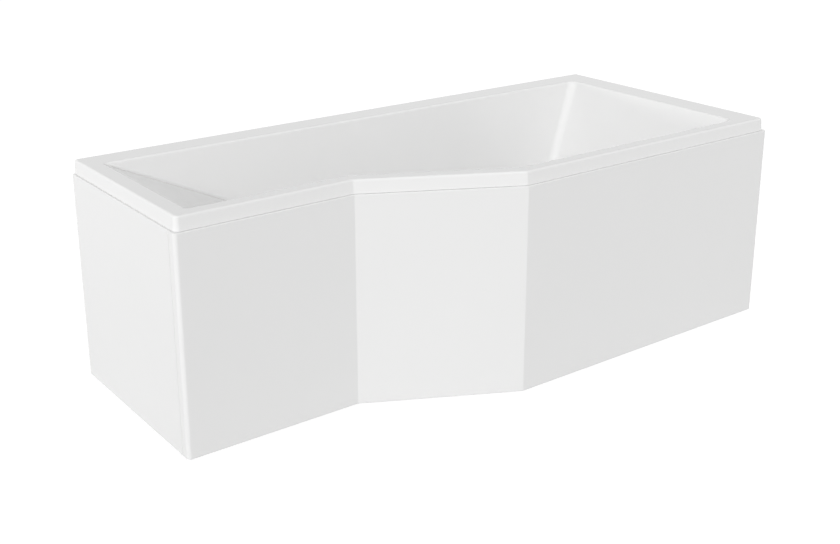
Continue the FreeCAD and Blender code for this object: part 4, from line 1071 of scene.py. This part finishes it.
def grown(name, tree, **inputs):
    """A piece made by a node tree with its named inputs, as plain mesh."""
    piece = new_piece(name, [], [])
    maker = piece.modifiers.new("maker", "NODES")
    maker.node_group = tree
    for item in tree.interface.items_tree:
        if item.in_out == "INPUT":
            maker[item.identifier] = inputs[item.name.lower()]
    return baked(piece)


class MakeFeet(bpy.types.Operator):
    """Threaded studs, foot pads and the nuts that lock them"""

    bl_idname = "corner_bath.feet"
    bl_label = "Levelling feet"

    def execute(self, context):
        tree = thread_tree()
        for place in ("back_left", "front_left", "back_mid", "front_mid", "back_right", "front_right"):
            low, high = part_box("foot_stud_" + place)
            foot = Vector(((low.x + high.x) / 2, (low.y + high.y) / 2, low.z))
            stud = grown("threaded_stud_" + place, tree, radius=(high.x - low.x) / 2, length=high.z - low.z,
                         pitch=sizes().pitch, foot=foot, finish=finish_named("zinc"))
            dressed(softened(stud), "foot_" + place, "zinc", "foot_stud_" + place)
            smooth_copy("foot_pad_" + place, "foot_" + place, "foot_plastic", "black_plastic")
        smooth_copy("foot_nuts", "bath", "zinc_steel", "zinc", NUT_BREAK)
        return {"FINISHED"}


class MakeFixings(bpy.types.Operator):
    """Screws, panel clips, glides and the joiner behind the corner seam"""

    bl_idname = "corner_bath.fixings"
    bl_label = "Screws, clips and glides"

    def execute(self, context):
        smooth_copy("small_screws", "bath", "zinc_steel", "zinc")
        smooth_copy("board_screws", "bath", "zinc_steel", "zinc")
        eased_copy("panel_clips", "bath", "zinc", CLIP_EDGE, 1)
        smooth_copy("panel_glides", "bath", "joiner_plastic", "white_plastic")
        eased_copy("corner_joiner", "bath", "white_plastic", JOINER_EDGE)
        return {"FINISHED"}


class MakeWaste(bpy.types.Operator):
    """Chromed waste and plug, its body, seals and lifting crank"""

    bl_idname = "corner_bath.waste"
    bl_label = "Waste and plug"

    def execute(self, context):
        for row in (("waste_flange", "bath", "chrome", "chrome"),
                    ("drain_plug", "plug", "chrome", "chrome"),
                    ("plug_seal", "plug", "seal_rubber", "rubber"),
                    ("waste_seal", "bath", "seal_rubber", "rubber"),
                    ("waste_body", "bath", "waste_plastic", "white_plastic"),
                    ("lift_crank", "crank", "crank_brass", "brass")):
            smooth_copy(*row)
        return {"FINISHED"}


class MakeOverflow(bpy.types.Operator):
    """Overflow rosette and knob, its elbow, pipe, nuts and cable"""

    bl_idname = "corner_bath.overflow"
    bl_label = "Overflow"

    def execute(self, context):
        for row in (("overflow_rosette", "bath", "chrome", "chrome"),
                    ("overflow_knob", "knob", "chrome", "chrome"),
                    ("overflow_seal", "bath", "seal_rubber", "rubber"),
                    ("overflow_elbow", "bath", "waste_plastic", "white_plastic"),
                    ("overflow_pipe", "bath", "waste_plastic", "white_plastic"),
                    ("pipe_nuts", "bath", "nut_plastic", "grey_plastic"),
                    ("bowden_cable", "bath", "cable_sheath", "black_plastic", SKIN_BREAK)):
            smooth_copy(*row)
        return {"FINISHED"}


def ribbed_copy(node, tree, lying):
    """A union nut's round shape with its grip ribs, on an upright axis or one that lies along Y."""
    size = sizes()
    piece = merged_copy(node)
    low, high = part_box(node)
    span = high - low
    ribs = grown("grip_ribs", tree, count=size.nut_ribs, radius=span.x / 2, width=size.rib_width,
                 height=RIB_SHARE * (span.y if lying else span.z), middle=(low + high) / 2,
                 turn=(math.pi / 2 if lying else 0.0, 0.0, 0.0), finish=finish_named("grey_plastic"))
    work = bmesh.new()
    work.from_mesh(piece.data)
    work.from_mesh(ribs.data)
    work.to_mesh(piece.data)
    work.free()
    bpy.data.objects.remove(ribs)
    return dressed(softened(piece, ROUND_BREAK), "trap", "grey_plastic", node)


class MakeTrap(bpy.types.Operator):
    """Trap cup with its cap and outlet pipe, and the ribbed nuts"""

    bl_idname = "corner_bath.trap"
    bl_label = "Trap and outlet"

    def execute(self, context):
        smooth_copy("trap_cup", "trap", "waste_plastic", "white_plastic")
        smooth_copy("outlet_pipe", "trap", "waste_plastic", "white_plastic")
        tree = rib_tree()
        for node, lying in (("trap_cap", False), ("trap_nut", False), ("outlet_nut", True)):
            ribbed_copy(node, tree, lying)
        return {"FINISHED"}


# Stage

# Camera: place in metres, turn from +Y and fall below level in degrees, lens in millimetres
CAMERA_PLACE = (-1.8741, -2.4058, 1.3768)
CAMERA_TURN = 36.9
CAMERA_FALL = 18.0
CAMERA_LENS = 52.04
SENSOR = 36

# Photograph: its size and the row of the lens's axis, in pixels
IMAGE_WIDTH = 840
IMAGE_HEIGHT = 544
AXIS_ROW = 205.0

# Lamps: the way the light goes, its strength, and its spread in degrees
LAMPS = {
    "window_light": ((0.707, 0.707, -0.466), 1.90, 20.0),
    "side_light": ((0.966, -0.259, -0.002), 0.69, 4.0),
    "front_light": ((-0.259, 0.966, -0.176), 0.09, 20.0),
    "rear_light": ((-0.74, -0.67, -0.002), 1.49, 2.0),
}
AMBIENT = 0.544

# Floor: its side in metres, the grey that it throws back, and the grey and glow that it is seen with
STAGE_SIDE = 60.0
FLOOR_BOUNCE = 0.5
FLOOR_GREY = 0.32
FLOOR_GLOW = 0.8
WHITE = (1, 1, 1, 1)


def seen_directly(tree):
    """1 for rays from the camera, a reflection or a see-through surface."""
    camera, glossy, through = [tree.node("ShaderNodeLightPath", {}, {}, name)
                               for name in ("Is Camera Ray", "Is Glossy Ray", "Is Transmission Ray")]
    return camera.maths("MAXIMUM", camera.maths("MAXIMUM", camera, glossy), through)


def white_room(scene):
    """World that lights softly and is seen as white."""
    world = bpy.data.worlds.new("white_room")
    world.use_nodes = True
    scene.world = world
    sky = Tree(world.node_tree)
    sky.tree.nodes.clear()
    soft = sky.node("ShaderNodeBackground", {}, {"Color": WHITE, "Strength": AMBIENT})
    white = sky.node("ShaderNodeBackground", {}, {"Color": WHITE, "Strength": 1.0})
    mixed = sky.node("ShaderNodeMixShader", {}, {0: seen_directly(sky), 1: soft, 2: white})
    sky.node("ShaderNodeOutputWorld", {}, {"Surface": mixed})


def white_floor():
    """Floor that is seen as white and keeps the bath's shadow."""
    half = STAGE_SIDE / 2
    corners = [(-half, -half, 0), (half, -half, 0), (half, half, 0), (-half, half, 0)]
    floor = new_piece("white_floor", corners, [(0, 1, 2, 3)])
    finish = Finish("white_floor")
    plain = finish.node("ShaderNodeBsdfDiffuse", {}, {"Color": full([FLOOR_BOUNCE] * 3)})
    pale = finish.node("ShaderNodeBsdfDiffuse", {}, {"Color": full([FLOOR_GREY] * 3)})
    glow = finish.node("ShaderNodeEmission", {}, {"Color": WHITE, "Strength": FLOOR_GLOW})
    seen = finish.node("ShaderNodeAddShader", {}, {0: pale, 1: glow})
    mixed = finish.node("ShaderNodeMixShader", {}, {0: seen_directly(finish), 1: plain, 2: seen})
    finish.node("ShaderNodeOutputMaterial", {}, {"Surface": mixed})
    floor.data.materials.append(finish.material)


def studio_lamps(scene):
    """Soft suns that no gloss mirrors."""
    for name, (direction, strength, spread) in LAMPS.items():
        lamp = bpy.data.lights.new(name, "SUN")
        lamp.energy = strength
        lamp.angle = math.radians(spread)
        shining = bpy.data.objects.new(name, lamp)
        shining.rotation_euler = Vector(direction).to_track_quat("-Z", "Y").to_euler()
        shining.visible_glossy = False
        scene.collection.objects.link(shining)


def photo_camera(scene):
    """Camera at the photograph's place."""
    lens = bpy.data.cameras.new("photo_camera")
    lens.sensor_width = SENSOR
    lens.lens = CAMERA_LENS
    lens.shift_y = (AXIS_ROW - IMAGE_HEIGHT / 2) / IMAGE_WIDTH
    camera = bpy.data.objects.new("photo_camera", lens)
    turn = math.radians(CAMERA_TURN)
    fall = math.radians(CAMERA_FALL)
    level = math.cos(fall)
    ahead = Vector((math.sin(turn) * level, math.cos(turn) * level, -math.sin(fall)))
    camera.location = CAMERA_PLACE
    camera.rotation_euler = ahead.to_track_quat("-Z", "Y").to_euler()
    scene.collection.objects.link(camera)
    scene.camera = camera


class MakeStage(bpy.types.Operator):
    """White floor, soft light and the camera of the photograph"""

    bl_idname = "corner_bath.stage"
    bl_label = "Stage"

    def execute(self, context):
        scene = context.scene
        scene.view_settings.view_transform = "Standard"
        white_room(scene)
        white_floor()
        studio_lamps(scene)
        photo_camera(scene)
        return {"FINISHED"}


OPERATORS = (MakeShell, MakeBacking, MakePanels, MakeTimber, MakeLegFrame, MakeFeet, MakeFixings, MakeWaste,
             MakeOverflow, MakeTrap, MakeStage)


class BathPanel(bpy.types.Panel):
    """Lists the bath's sizes, colours and pieces"""

    bl_idname = "VIEW3D_PT_corner_bath"
    bl_label = "Corner Bath"
    bl_space_type = "VIEW_3D"
    bl_region_type = "UI"
    bl_category = "Corner Bath"

    def draw(self, context):
        layout = self.layout
        for operator in OPERATORS:
            layout.operator(operator.bl_idname)
        for group in (context.scene.corner_bath_sizes, context.scene.corner_bath_colours):
            column = layout.column()
            for name in group.__annotations__:
                column.prop(group, name)


CLASSES = (BathSizes, BathColours, *OPERATORS, BathPanel)


def register():
    """Adds the operators, the panel and the two groups of settings."""
    for kind in CLASSES:
        bpy.utils.register_class(kind)
    bpy.types.Scene.corner_bath_sizes = PointerProperty(type=BathSizes)
    bpy.types.Scene.corner_bath_colours = PointerProperty(type=BathColours)


def unregister():
    """Takes them away again."""
    del bpy.types.Scene.corner_bath_colours
    del bpy.types.Scene.corner_bath_sizes
    for kind in reversed(CLASSES):
        bpy.utils.unregister_class(kind)


def main():
    """Makes every piece and the stage."""
    register()
    bpy.ops.corner_bath.shell()
    bpy.ops.corner_bath.backing()
    bpy.ops.corner_bath.panels()
    bpy.ops.corner_bath.timber()
    bpy.ops.corner_bath.leg_frame()
    bpy.ops.corner_bath.feet()
    bpy.ops.corner_bath.fixings()
    bpy.ops.corner_bath.waste()
    bpy.ops.corner_bath.overflow()
    bpy.ops.corner_bath.trap()
    bpy.ops.corner_bath.stage()


if __name__ == "__main__":
    main()
